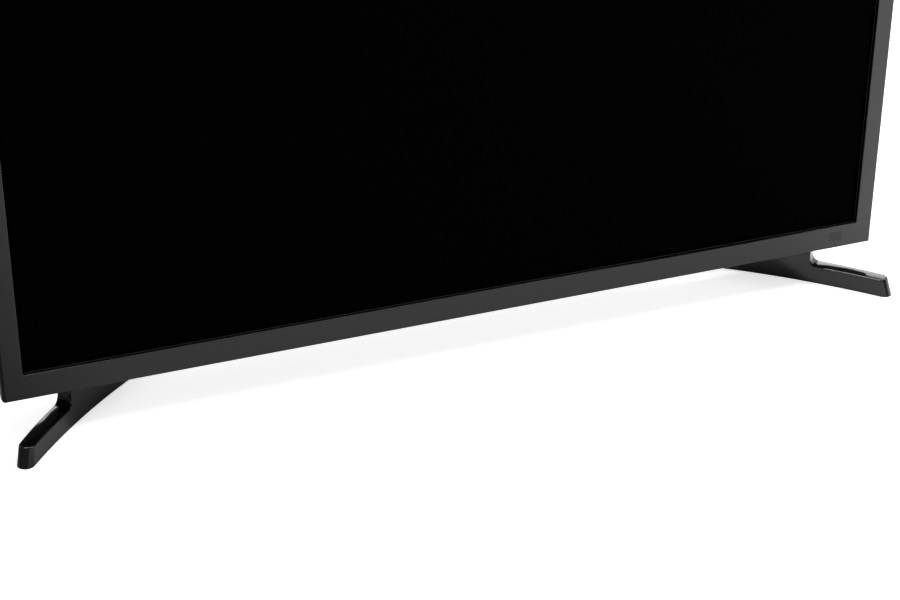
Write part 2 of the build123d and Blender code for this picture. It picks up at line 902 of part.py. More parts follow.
def capacitors():
    """Two round capacitors that stand on the power board."""
    x = power_board_left + pillar_inset + 4 * pillar_radius + capacitor_radius
    first = power_board_bottom + power_board_height - pillar_inset - 2 * capacitor_radius
    cans = []
    for n in range(capacitor_count):
        z = first - n * capacitor_pitch
        cans.append(rod_y(x, z, capacitor_radius, board_back_y, board_back_y + capacitor_length))
    return fused(cans)


def mains_choke():
    """The ring shaped choke that cleans the mains."""
    x = power_board_left + pillar_inset + 4 * pillar_radius + choke_radius
    z = power_board_bottom + pillar_inset + 2 * choke_radius
    ring = rod_y(x, z, choke_radius, board_back_y, board_back_y + choke_thickness)
    return ring - rod_y(x, z, choke_hole_radius, board_back_y - overrun,
                        board_back_y + choke_thickness + overrun)


def inlet_y():
    """Depth of the mains inlet's centre line."""
    return board_back_y + socket_lift + inlet_height / 2


def ac_inlet():
    """The moulded two pin mains inlet, its mouth shaped like two circles run together."""
    y = inlet_y()
    z = power_inlet_z
    mouth_x = -jack_wall_x + seat_gap
    body = block(mouth_x, mouth_x + inlet_depth, y - inlet_height / 2, y + inlet_height / 2,
                 z - inlet_width / 2, z + inlet_width / 2)
    mouth_plane = Plane(origin=(mouth_x - overrun, y, z), x_dir=(0, 0, 1), z_dir=(1, 0, 0))
    mouth = extrude(mouth_plane * SlotOverall(inlet_mouth_width, inlet_mouth_height),
                    amount=inlet_mouth_depth + overrun)
    return body - mouth


def inlet_pins():
    """The inlet's two brass pins."""
    mouth_x = -jack_wall_x + seat_gap
    back = mouth_x + inlet_mouth_depth
    half = inlet_pin_pitch / 2
    return fused([rod_x(inlet_y(), power_inlet_z + z, inlet_pin_radius, back - inlet_pin_length, back)
                  for z in (-half, half)])


def board_screws():
    """Screws that hold the two boards to the pan's pillars."""
    screws = []
    for x, z in board_holes():
        head = rod_y(x, z, screw_head_radius, board_back_y, board_back_y + screw_head_height)
        shank = rod_y(x, z, screw_shank_radius, board_back_y - screw_length, board_back_y)
        screws.append(head + shank)
    return fused(screws)


def recess(sign, z_low, z_high, grow):
    """The space that a side recess takes, grown by a wall where grow isn't zero."""
    wall_x = jack_wall_x
    ramp_x = wall_x + recess_run
    ramp_end = ramp_x + recess_ramp_run
    ramp_top = recess_floor_y + recess_ramp_rise
    shape = Polyline((wall_x, recess_floor_y), (ramp_x, recess_floor_y), (ramp_end, ramp_top),
                     (ramp_end, body_depth + overrun), (wall_x, body_depth + overrun), close=True)
    face = make_face(shape)
    if grow > 0:
        face = offset(face, amount=grow, kind=Kind.INTERSECTION)
    space = extrude(Plane.XY.offset(z_low - grow) * face, amount=z_high - z_low + 2 * grow)
    return space if sign > 0 else mirror(space, about=Plane.YZ)


def cover_form(inset):
    """The rear cover's filled form: the outer one at zero inset, the space inside it at one wall."""
    low = body_bottom + inset
    high = body_top - inset
    wide = half_width - inset
    start = bezel_depth if inset == 0 else bezel_depth - overrun
    rim = slab(outline(wide, low, high, rim_corner_radius), start, rim_side_y)
    rim_back = outline(wide - rim_slope, low, high - rim_slope, rim_back_radius)
    slope = frustum(outline(wide, low, high, rim_corner_radius), rim_back, rim_side_y, rim_back_y - inset)
    shoulder_half = half_width - shoulder_inset - inset
    shoulder_top = body_bottom + shoulder_height - inset
    shoulder = frustum(outline(shoulder_half, low, shoulder_top, shoulder_corner_radius),
                       outline(shoulder_half - shoulder_slope, low, shoulder_top - shoulder_slope,
                               shoulder_corner_radius),
                       rim_side_y, shoulder_back_y - inset)
    shoulder = fillet(shoulder.faces().sort_by(Axis.Y)[-1].edges(), shoulder_edge_radius - inset)
    housing_low = body_bottom + housing_bottom_height + inset
    housing_high = body_bottom + housing_top_height - inset
    housing_half = housing_half_width - inset
    housing = frustum(outline(housing_half, housing_low, housing_high, housing_corner_radius),
                      outline(housing_half - housing_slope, housing_low + housing_slope,
                              housing_high - housing_slope, housing_corner_radius),
                      rim_back_y, body_depth - inset)
    housing = fillet(housing.faces().sort_by(Axis.Y)[-1].edges(), housing_edge_radius - inset)
    form = rim + slope + shoulder + housing
    form -= recess(1, jack_recess_bottom, jack_recess_top, inset)
    form -= recess(-1, power_recess_bottom, power_recess_top, inset)
    pocket_front = shoulder_back_y - pocket_depth - inset
    pocket_back = shoulder_back_y + overrun
    return form - rod_y(control_x, control_z, pocket_radius + inset, pocket_front, pocket_back)


def vent_rows():
    """Centre height, count, and depths in front of and behind each row of cooling slots."""
    top = body_bottom + housing_top_height - vent_row_drop
    low = body_bottom + housing_bottom_height + vent_row_drop
    return [(top, vent_count, body_depth - cover_wall, body_depth),
            (low, vent_count, body_depth - cover_wall, body_depth),
            (body_top - vent_top_drop, vent_top_count, rim_back_y - cover_wall, rim_back_y)]


def vents():
    """All cooling slots as one group of cutters."""
    slots = []
    for z, count, y_front, y_back in vent_rows():
        for n in range(count):
            x = (n - (count - 1) / 2) * vent_pitch
            slots.append(block(x - vent_width / 2, x + vent_width / 2, y_front - overrun, y_back + overrun,
                               z - vent_length / 2, z + vent_length / 2))
    return slots


def speaker_slots():
    """Slots under each speaker."""
    slots = []
    for side in (-1, 1):
        for n in range(speaker_slot_count):
            x = side * speaker_x + (n - (speaker_slot_count - 1) / 2) * speaker_slot_pitch
            slots.append(block(x - speaker_slot_width / 2, x + speaker_slot_width / 2,
                               speaker_y - speaker_slot_length / 2, speaker_y + speaker_slot_length / 2,
                               body_bottom - overrun, body_bottom + cover_wall + overrun))
    return slots


def socket_cuts():
    """Holes in the recess walls for the sockets."""
    low = board_back_y + socket_lift
    gap = socket_cut_gap
    x_low = jack_wall_x - cover_wall - overrun
    x_high = jack_wall_x + overrun
    cuts = []
    for place, width, height in ((0, usb_width, usb_height), (1, hdmi_width, hdmi_height),
                                 (2, hdmi_width, hdmi_height)):
        z = jack_z(place)
        cuts.append(block(x_low, x_high, low - gap, low + height + gap,
                          z - width / 2 - gap, z + width / 2 + gap))
    radius = audio_collar_radius + gap
    for place in (3, 4):
        cuts.append(rod_x(low + audio_jack_height / 2, jack_z(place), radius, x_low, x_high))
    cuts.append(rod_x(low + tuner_height / 2, jack_z(5), aerial_flange_radius + gap, x_low, x_high))
    cuts.append(block(-x_high, -x_low, low - gap, low + inlet_height + gap,
                      power_inlet_z - inlet_width / 2 - gap, power_inlet_z + inlet_width / 2 + gap))
    return cuts


def foot_arc_points():
    """Tip, middle and rear end of the right foot's centre line, in plan."""
    tip = Vector(half_width - foot_tip_inset, foot_tip_setback - foot_ahead)
    middle = Vector(half_width - foot_middle_inset, foot_middle_y)
    back = Vector(half_width - foot_back_inset, stand_depth - foot_ahead - foot_back_setback)
    return tip, middle, back


def arc_centre(a, b, c):
    """Centre of the circle through three points in plan."""
    d = 2 * (a.X * (b.Y - c.Y) + b.X * (c.Y - a.Y) + c.X * (a.Y - b.Y))
    aa, bb, cc = (p.X ** 2 + p.Y ** 2 for p in (a, b, c))
    x = (aa * (b.Y - c.Y) + bb * (c.Y - a.Y) + cc * (a.Y - b.Y)) / d
    y = (aa * (c.X - b.X) + bb * (a.X - c.X) + cc * (b.X - a.X)) / d
    return Vector(x, y)


def foot_plan(shrink, pull):
    """The foot's plan, a slim bow with round ends: drawn in by shrink, its tip pulled back by pull."""
    tip, middle, back = foot_arc_points()
    centre = arc_centre(tip, middle, back)
    radius = (tip - centre).length
    tip = centre + (tip - centre).rotate(Axis.Z, math.degrees(pull / radius))
    near = []
    far = []
    for point, inner, outer in ((tip, foot_near_end, foot_far_end),
                                (middle, foot_near_middle, foot_far_middle),
                                (back, foot_near_end, foot_far_end)):
        out = (point - centre).normalized()
        near.append(point - out * (inner - shrink))
        far.append(point + out * (outer - shrink))
    end = (foot_near_end + foot_far_end) / 2 - shrink
    tip_out = (tip - centre).normalized().rotate(Axis.Z, -quarter_turn) * end
    back_out = (back - centre).normalized().rotate(Axis.Z, quarter_turn) * end
    return make_face([
        ThreePointArc(near[0], near[1], near[2]),
        ThreePointArc(near[2], (near[2] + far[2]) / 2 + back_out, far[2]),
        ThreePointArc(far[2], far[1], far[0]),
        ThreePointArc(far[0], (far[0] + near[0]) / 2 + tip_out, near[0]),
    ])


def along_foot():
    """Unit vector from the tip to the rear end, and the tip, in plan."""
    tip, middle, back = foot_arc_points()
    return (back - tip).normalized(), tip


def foot_side_plane():
    """An upright plane along the foot whose sketches read distance from the tip, and height."""
    direction, tip = along_foot()
    return Plane(origin=(tip.X, tip.Y, 0), x_dir=(direction.X, direction.Y, 0),
                 z_dir=(direction.Y, -direction.X, 0))


def foot_profile(top, front, back):
    """Side view of the foot: the leg, and the neck that rises from it between two stations."""
    start = -2 * foot_far_end
    direction, tip = along_foot()
    tip, middle, rear = foot_arc_points()
    end = (rear - tip).length + 2 * foot_far_end
    bend = neck_fillet
    corner = bend * (1 - math.sqrt(0.5))
    low = foot_floor_gap
    return make_face([
        Line((start, low), (end, low)),
        Line((end, low), (end, foot_height)),
        Line((end, foot_height), (back + bend, foot_height)),
        ThreePointArc((back + bend, foot_height), (back + corner, foot_height + corner),
                      (back, foot_height + bend)),
        Line((back, foot_height + bend), (back, top)),
        Line((back, top), (front, top)),
        Line((front, top), (front, foot_height + bend)),
        ThreePointArc((front, foot_height + bend), (front - corner, foot_height + corner),
                      (front - bend, foot_height)),
        Line((front - bend, foot_height), (start, foot_height)),
        Line((start, foot_height), (start, low)),
    ])


def neck_block(front, back, z_low, z_high):
    """Everything between two stations of the foot and two heights, wide enough to cross it."""
    reach = 4 * foot_far_middle
    strip = make_face(Polyline((front, z_low), (back, z_low), (back, z_high), (front, z_high), close=True))
    return extrude(foot_side_plane() * strip, amount=reach, both=True)


def neck_stations():
    """Stations of the neck's front and rear faces, from the tip's centre."""
    return neck_start, neck_start + neck_length


def screw_points():
    """Plan points of the two screws that hold a foot."""
    tip, middle, back = foot_arc_points()
    centre = arc_centre(tip, middle, back)
    radius = (tip - centre).length
    front, rear = neck_stations()
    start = (front + rear) / 2
    offset = (foot_far_middle - foot_near_middle) / 2
    points = []
    for shift in (-foot_screw_pitch / 2, foot_screw_pitch / 2):
        angle = math.degrees((start + shift) / radius)
        out = (tip - centre).normalized().rotate(Axis.Z, angle)
        points.append(centre + out * (radius + offset))
    return points


def pad_points():
    """Plan points of a foot's two rubber pads, with the direction of each."""
    tip, middle, back = foot_arc_points()
    centre = arc_centre(tip, middle, back)
    radius = (tip - centre).length
    step = math.degrees((pad_length / 2) / radius)
    offset = (foot_far_end - foot_near_end) / 2
    spots = []
    for point, turn in ((tip, step), (back, -step)):
        out = (point - centre).normalized().rotate(Axis.Z, turn)
        heading = math.degrees(math.atan2(out.Y, out.X)) + quarter_turn
        spots.append((centre + out * (radius + offset), heading))
    return spots


def pad(shrink, z_low, z_high):
    """Both pads of the right foot, or their seats where shrink isn't zero."""
    pieces = []
    for spot, turn in pad_points():
        shape = SlotOverall(pad_length - 2 * shrink, pad_width - 2 * shrink)
        place = Pos(spot.X, spot.Y, z_low) * Rot(0, 0, turn)
        pieces.append(place * extrude(shape, amount=z_high - z_low))
    return pieces


def open_edges(faces):
    """The edges that only one of these faces has."""
    edges = [edge for face in faces for edge in face.edges()]
    return [edge for edge in edges if sum(edge.is_same(other) for other in edges) == 1]


def foot_hollow(front, back):
    """Pockets in the underside of the leg, with cross ribs left standing."""
    direction, tip = along_foot()
    end = (foot_arc_points()[2] - tip).length
    core = extrude(Plane.XY * foot_plan(foot_hollow_wall, 0), amount=foot_height - foot_hollow_top)
    pockets = []
    for low, high in ((foot_hollow_start, front), (back, end - foot_hollow_start)):
        cells = max(1, round((high - low) / foot_rib_pitch))
        pitch = (high - low) / cells
        for n in range(cells):
            start = low + n * pitch + foot_rib_thickness / 2
            stop = low + (n + 1) * pitch - foot_rib_thickness / 2
            pockets.append(core & neck_block(start, stop, 0, foot_height))
    return pockets


def foot():
    """The right foot: a glossy bow on the table with a neck that rises into the body."""
    front, back = neck_stations()
    rise = floor_gap / foot_height
    high = Plane.XY.offset(floor_gap) * foot_plan(foot_draft * rise, foot_tip_lean * rise)
    bow = loft([Plane.XY * foot_plan(0, 0), high], ruled=True)
    side = extrude(foot_side_plane() * foot_profile(neck_top, front, back),
                   amount=5 * foot_far_middle, both=True)
    shape = bow & side
    tops = [face for face in shape.faces() if face.bounding_box().min.Z > foot_height - seat_gap
            and face.bounding_box().min.Z < neck_top - seat_gap]
    rim = [edge for edge in open_edges(tops) if edge.bounding_box().min.Z < neck_top - seat_gap]
    shape = fillet(rim, foot_edge_radius)
    spigot = extrude(Plane.XY.offset(neck_top - overrun) * foot_plan(spigot_inset, 0),
                     amount=spigot_height + overrun)
    shape += spigot & neck_block(front + spigot_inset, back - spigot_inset,
                                 neck_top - overrun, neck_top + spigot_height)
    for pocket in foot_hollow(front, back):
        shape -= pocket
    for seat in pad(-running_gap, foot_floor_gap - overrun, pad_thickness):
        shape -= seat
    for point in screw_points():
        shape -= rod_z(point.X, point.Y, foot_screw_hole_radius, 0, floor_gap + spigot_height)
        shape -= rod_z(point.X, point.Y, foot_screw_bore, 0, foot_screw_seat)
    return shape


def foot_pads():
    """Rubber pads under both feet."""
    return fused([side for piece in pad(0, 0, pad_thickness) for side in both_sides(piece)])


def bracket_floor_z():
    """Underside of the stand brackets, just above the rear cover's floor."""
    return body_bottom + cover_wall + seat_gap


def foot_screws():
    """The long screws that go up through the feet into the stand brackets."""
    top = bracket_floor_z() + bracket_thickness + foot_screw_end_gap
    screws = []
    for point in screw_points():
        head = rod_z(point.X, point.Y, foot_screw_head_radius,
                     foot_screw_seat - foot_screw_head_height, foot_screw_seat)
        shank = rod_z(point.X, point.Y, foot_screw_radius, foot_screw_seat, top)
        screws += both_sides(head + shank)
    return fused(screws)


def stand_brackets():
    """Bent steel plates that the feet are screwed to, riveted to the back of the pan."""
    points = screw_points()
    x_low = min(point.X for point in points) - bracket_margin
    x_high = max(point.X for point in points) + bracket_margin
    y_low = min(point.Y for point in points) - bracket_margin
    y_high = max(point.Y for point in points) + bracket_margin
    low = bracket_floor_z()
    plate = block(x_low, x_high, y_low, y_high, low, low + bracket_thickness)
    plate += block(x_low, x_high, pan_back_y, pan_back_y + bracket_thickness, low, low + bracket_rise)
    high = low + bracket_thickness + overrun
    for point in points:
        plate -= rod_z(point.X, point.Y, bracket_thread_radius, low - overrun, high)
    return fused(both_sides(plate))


def collar():
    """The raised seat under the rear cover that the right foot's neck runs into."""
    front, back = neck_stations()
    post = extrude(Plane.XY.offset(floor_gap - collar_height) * foot_plan(neck_draft, 0),
                   amount=collar_height + cover_wall / 2)
    post = post & neck_block(front, back, floor_gap - collar_height, floor_gap + cover_wall)
    return fillet(post.edges().filter_by(Axis.Z), foot_edge_radius)


def collar_slot():
    """The hole in the collar that the foot's spigot slides into."""
    front, back = neck_stations()
    edge = spigot_inset - spigot_gap
    tall = collar_height + cover_wall + 2 * overrun
    slot = extrude(Plane.XY.offset(floor_gap - collar_height - overrun) * foot_plan(edge, 0), amount=tall)
    return slot & neck_block(front + edge, back - edge, floor_gap - collar_height - overrun,
                             floor_gap + cover_wall + overrun)


def lap():
    """The rib inside the rear cover's front edge that slips into the bezel."""
    def ring(edge, y_front, y_back):
        outer = outline(half_width - edge, body_bottom + edge, body_top - edge, rim_corner_radius)
        inset = cover_wall + lap_gap + lap_thickness
        inner = outline(half_width - inset, body_bottom + inset, body_top - inset, rim_corner_radius)
        return slab(outer - inner, y_front, y_back)
    tongue = ring(cover_wall + lap_gap, bezel_depth - lap_depth, bezel_depth + lap_depth)
    return tongue + ring(cover_wall / 2, bezel_depth + lap_gap, bezel_depth + lap_depth)


def speaker_box_low():
    """Underside of the speaker boxes, on their foam rings."""
    return body_bottom + cover_wall + speaker_gasket


def ear_places():
    """X of the right speaker's two ears, at the grommets."""
    reach = speaker_length / 2 + speaker_ear / 2
    return [speaker_x - reach, speaker_x + reach]


def ear_z():
    """Height of the grommets in the speakers' ears."""
    return speaker_box_low() + speaker_height / 2


def cover_columns(form):
    """Screw columns from the bezel's bosses to the cover's skin."""
    tubes = [rod_y(x, z, cover_tube_radius, boss_end_y + lap_gap, cover_column_front_y + overrun)
             for x, z in cover_screw_places()]
    columns = [rod_y(x, z, cover_column_radius, cover_column_front_y, rim_back_y)
               for x, z in cover_screw_places()]
    return fused(tubes + columns) & form


def control_posts():
    """Posts inside the cover that the control's board is fixed to."""
    shift = (control_board_size - pillar_inset) / 2
    end = shoulder_back_y - pocket_depth
    return [rod_y(control_x + dx, control_z + dz, pillar_hole_radius, control_board_back_y(), end)
            for dx in (-shift, shift) for dz in (-shift, shift)]


def speaker_posts():
    """Pins inside the cover that carry the speakers' rubber rings."""
    front = speaker_y - speaker_ear_thickness
    back = shoulder_back_y - cover_wall / 2
    pins = [rod_y(x, ear_z(), ear_pin_radius, front, back) for x in ear_places()]
    return [side for pin in pins for side in both_sides(pin)]


def cover_holes():
    """Screw holes, the control's hole and the wall mount's holes."""
    holes = []
    for x, z in cover_screw_places():
        holes.append(rod_y(x, z, cover_hole_radius, boss_end_y, cover_screw_seat_y))
        holes.append(rod_y(x, z, cover_screw_bore, cover_screw_seat_y, rim_back_y + overrun))
    pocket_front = shoulder_back_y - pocket_depth - cover_wall - overrun
    radius = knob_boss_radius + pocket_hole_gap
    holes.append(rod_y(control_x, control_z, radius, pocket_front, shoulder_back_y))
    for x, z in wall_places():
        holes.append(rod_y(x, z, wall_post_radius + wall_post_gap, body_depth - cover_wall - overrun,
                           body_depth + overrun))
    return holes


def rear_cover():
    """The moulded back: shell, lap, screw columns, collars, recesses, slots and vents."""
    form = cover_form(0)
    cover = form - cover_form(cover_wall)
    cover += [lap(), cover_columns(form)] + both_sides(collar()) + speaker_posts() + control_posts()
    return cover - (both_sides(collar_slot()) + cover_holes() + vents() + speaker_slots() + socket_cuts())


def cover_screws():
    """Pan head screws sunk in the rear cover's columns."""
    screws = []
    front = boss_end_y - cover_screw_engagement
    for x, z in cover_screw_places():
        head = rod_y(x, z, cover_screw_head_radius, cover_screw_seat_y,
                     cover_screw_seat_y + cover_screw_head_height)
        screws.append(head + rod_y(x, z, cover_screw_radius, front, cover_screw_seat_y))
    return fused(screws)


def racetrack(length, width):
    """A slot shape in plan, round at its ends."""
    return SlotOverall(length, width)


def speaker_cone_z():
    """Height of the speaker cone's rim."""
    return speaker_box_low() + cone_lift


def speaker_box(side):
    """One sealed speaker box, with the driver's opening underneath and an ear at each end."""
    low = speaker_box_low()
    x = side * speaker_x
    box = block(x - speaker_length / 2, x + speaker_length / 2, speaker_y - speaker_depth / 2,
                speaker_y + speaker_depth / 2, low, low + speaker_height)
    box = fillet(box.edges().filter_by(Axis.Y), speaker_corner_radius)
    half_ear = speaker_ear / 2
    for ear in ear_places():
        ear_x = side * ear
        plate = block(ear_x - half_ear - overrun, ear_x + half_ear + overrun,
                      speaker_y - speaker_ear_thickness / 2, speaker_y + speaker_ear_thickness / 2,
                      ear_z() - half_ear, ear_z() + half_ear)
        box += plate
    for ear in ear_places():
        box -= rod_y(side * ear, ear_z(), grommet_radius, speaker_y - speaker_depth / 2 - overrun,
                     speaker_y + speaker_depth / 2 + overrun)
    cavity = extrude(racetrack(driver_length, driver_width), amount=driver_cavity + overrun)
    return box - Pos(x, speaker_y, low - overrun) * cavity


def speaker_surround(side):
    """The soft ring between the speaker's frame and its cone."""
    outer = racetrack(driver_length, driver_width)
    inner = racetrack(driver_length - 2 * surround_width, driver_width - 2 * surround_width)
    ring = extrude(outer - inner, amount=surround_thickness)
    return Pos(side * speaker_x, speaker_y, speaker_cone_z()) * ring


def speaker_cone(side):
    """The stiff dished cone with its voice coil."""
    drop = 2 * (surround_width + surround_gap)
    length = driver_length - drop
    width = driver_width - drop
    draft = cone_draft
    skin = 2 * cone_thickness

    def dish(base_length, base_width, z_low, height):
        low = Plane.XY.offset(z_low) * racetrack(base_length, base_width)
        high = Plane.XY.offset(z_low + height) * racetrack(base_length - draft, base_width - draft)
        return loft([low.face(), high.face()], ruled=True)
    cone = dish(length, width, 0, cone_height + cone_thickness)
    cone -= dish(length - skin, width - skin, 0, cone_height)
    top = cone_height + cone_thickness
    former = Cylinder(coil_radius, coil_height) - Cylinder(coil_radius - coil_wall, coil_height)
    cone += Pos(0, 0, top + coil_height / 2) * former
    return Pos(side * speaker_x, speaker_y, speaker_cone_z()) * cone


def speaker_magnet(side):
    """The magnet, with the round gap that the voice coil moves in."""
    bottom = speaker_cone_z() + cone_height + cone_thickness + cone_travel + surround_thickness
    top = speaker_box_low() + driver_cavity
    slot_top = bottom + coil_height + cone_travel
    x = side * speaker_x
    gap = rod_z(x, speaker_y, coil_radius + seat_gap, bottom - overrun, slot_top)
    gap -= rod_z(x, speaker_y, coil_radius - coil_wall - seat_gap, bottom - 2 * overrun, slot_top + overrun)
    return rod_z(x, speaker_y, magnet_radius, bottom, top) - gap


def speaker_gaskets():
    """Foam rings between the speaker boxes and the floor of the rear cover."""
    rim = 2 * speaker_gasket_width
    ring = racetrack(driver_length + rim, driver_width + rim) - racetrack(driver_length, driver_width)
    low = body_bottom + cover_wall
    piece = Pos(speaker_x, speaker_y, low) * extrude(ring, amount=speaker_gasket)
    return fused(both_sides(piece))


def speaker_grommets():
    """Rubber rings that keep the speaker boxes from shaking the cover."""
    rings = []
    for x in ear_places():
        y_front = speaker_y - speaker_ear_thickness / 2
        ring = rod_y(x, ear_z(), grommet_radius - running_gap, y_front, y_front + grommet_height)
        ring -= rod_y(x, ear_z(), ear_pin_radius + running_gap, y_front - overrun,
                      y_front + grommet_height + overrun)
        rings += both_sides(ring)
    return fused(rings)


def control_base_front_y():
    """Front of the control's base, where it sits on its board."""
    return control_pivot_y + ring_thickness / 2 - control_base_depth


def control_board_back_y():
    """Rear face of the control's board."""
    return control_base_front_y()


def control_board():
    """The small board behind the control, with the socket for its lead."""
    half = control_board_size / 2
    back = control_board_back_y()
    front = back - control_board_thickness
    board = block(control_x - half, control_x + half, front, back, control_z - half, control_z + half)
    x_high = control_x + half - control_plug_length
    z_half = control_plug_width / 2
    board += block(x_high - control_plug_length, x_high, lead_y() - lead_radius, front,
                   control_z - z_half, control_z + z_half)
    return board


def control_base():
    """The switch's base, with the bearings that its ring tilts in."""
    half = control_base_size / 2
    front = control_base_front_y()
    back = front + control_base_depth
    base = block(control_x - half, control_x + half, front, back, control_z - half, control_z + half)
    base -= rod_y(control_x, control_z, control_cup_radius, front + control_base_floor, back + overrun)
    reach = ring_outer_radius + pivot_pin_reach + seat_gap
    return base - rod_z(control_x, control_pivot_y, pivot_pin_radius + running_gap,
                        control_z - reach, control_z + reach)


def control_ring():
    """The ring that tilts left and right on two upright pins."""
    front = control_pivot_y - ring_thickness / 2
    back = control_pivot_y + ring_thickness / 2
    ring = rod_y(control_x, control_z, ring_outer_radius, front, back)
    reach = ring_outer_radius + pivot_pin_reach
    ring += rod_z(control_x, control_pivot_y, pivot_pin_radius, control_z - reach, control_z + reach)
    ring -= rod_y(control_x, control_z, ring_inner_radius, front - overrun, back + overrun)
    return ring - rod_x(control_pivot_y, control_z, pivot_pin_radius + running_gap,
                        control_x - ring_outer_radius - overrun, control_x + ring_outer_radius + overrun)


def control_stem():
    """The stem that tilts up and down in the ring on two level pins."""
    half = stem_hub_thickness / 2
    stem = rod_y(control_x, control_z, stem_hub_radius, control_pivot_y - half, control_pivot_y + half)
    reach = ring_outer_radius - seat_gap
    stem += rod_x(control_pivot_y, control_z, pivot_pin_radius, control_x - reach, control_x + reach)
    return stem + rod_y(control_x, control_z, stem_radius, control_pivot_y, control_pivot_y + stem_length)


def control_knob():
    """The round thumb button, dished on top, that slides on the stem."""
    front = control_pivot_y + knob_boss_front
    cap_front = control_pivot_y + knob_cap_front
    cap_back = cap_front + knob_cap_thickness
    cap = rod_y(control_x, control_z, knob_radius, cap_front, cap_back)
    cap = fillet(cap.faces().sort_by(Axis.Y)[-1].edges(), knob_edge_radius)
    knob = cap + rod_y(control_x, control_z, knob_boss_radius, front, cap_front + overrun)
    dish_y = cap_back + knob_dish_radius - knob_dish_depth
    knob -= Pos(control_x, dish_y, control_z) * Sphere(knob_dish_radius)
    bore_back = control_pivot_y + stem_length + press_travel + seat_gap
    return knob - rod_y(control_x, control_z, stem_radius + running_gap, front - overrun, bore_back)


def panel_ribbon_cable():
    """The flat cable from the signal board, down the back of the pan, to the glass's drive board."""
    x = main_board_left + pillar_inset + 2 * pillar_radius + ribbon_width / 2
    top = board_back_y + ribbon_thickness / 2
    back = pan_back_y + seat_gap + ribbon_thickness
    source_low = screen_z - glass_height / 2 - flex_drop - flex_thickness - source_board_thickness
    under = source_low - ribbon_thickness / 2
    rise = main_board_bottom - board_standoff
    path = FilletPolyline((top, main_board_bottom + ribbon_width / 2), (top, rise),
                          (back, rise - board_standoff), (back, under), (source_board_y, under),
                          radius=lead_radius)
    plane = Plane(origin=(x - ribbon_width / 2, 0, 0), x_dir=(0, 1, 0), z_dir=(1, 0, 0))
    return extrude(plane * trace(path, line_width=ribbon_thickness), amount=ribbon_width)


def plug(x_low, x_high, z_low, z_high):
    """A plug on the rear face of a board."""
    return block(x_low, x_high, board_back_y, board_back_y + plug_depth, z_low, z_high)


def power_harness():
    """The flat bundle between the two boards, with its plug at each end."""
    half = harness_width / 2
    low_x = power_board_right - half
    high_x = main_board_left + half
    z = wall_mount_z
    front = board_back_y + (plug_depth - harness_thickness) / 2
    strip = block(low_x, high_x, front, front + harness_thickness, z - half, z + half)
    plugs = [plug(x, x + plug_length, z - half - plug_rim, z + half + plug_rim)
             for x in (low_x - plug_length, high_x)]
    return fused([strip] + plugs)


def lead(points):
    """A round lead along straight runs with bends."""
    path = FilletPolyline(*points, radius=lead_bend)
    start = Vector(points[0])
    section = Plane(origin=start, z_dir=Vector(points[1]) - start) * Circle(lead_radius)
    return sweep(section, path=path)


def lead_y():
    """Depth at which the leads leave their plugs."""
    return board_back_y + plug_depth / 2


def led_lead_places():
    """X of the two leads to the light bars."""
    x = power_board_left + power_board_width / 2
    return [x - lead_pitch / 2, x + lead_pitch / 2]


def led_lead_z():
    """Height at which those leads go through the pan."""
    return power_board_bottom + power_board_height + led_lead_rise


def led_leads():
    """Two leads with a plug on the power board, that go through the pan to the light bars."""
    low = power_board_bottom + power_board_height - pillar_inset - plug_length
    left, right = led_lead_places()
    pieces = [plug(left - plug_rim, right + plug_rim, low, low + plug_length)]
    start = low + plug_length - plug_rim
    for x in (left, right):
        end = led_lead_z()
        pieces.append(lead([(x, lead_y(), start), (x, lead_y(), end), (x, pan_floor_y, end)]))
    return fused(pieces)


def lead_start(place):
    """X of one of the leads that leave the bottom of the signal board."""
    return main_board_left + main_board_width / 2 - place * lead_pitch


def board_lead(place, level, end_x, end_z):
    """A lead from the signal board's plug, down to a level, along it, and to its end."""
    y = lead_y()
    x = lead_start(place)
    start = main_board_bottom + pillar_inset + plug_rim
    points = [(x, y, start), (x, y, level), (end_x, y, level)]
    if end_z < level:
        points.append((end_x, y, end_z))
    return lead(points)


def speaker_leads():
    """The leads from the signal board to both speakers, with their plug."""
    end_z = speaker_box_low() + speaker_height
    level = control_z - lead_pitch
    low = main_board_bottom + pillar_inset
    return fused([plug(lead_start(1) - plug_rim, lead_start(0) + plug_rim, low, low + plug_length),
                  board_lead(0, level, speaker_x, end_z),
                  board_lead(1, level, -speaker_x, end_z)])


def control_lead():
    """The lead from the signal board to the control's board, with its plug."""
    low = main_board_bottom + pillar_inset
    x = lead_start(3)
    end_x = control_x + control_board_size / 2 - control_plug_length
    return fused([plug(x - plug_rim, x + plug_rim, low, low + plug_length),
                  board_lead(3, control_z, end_x, control_z)])


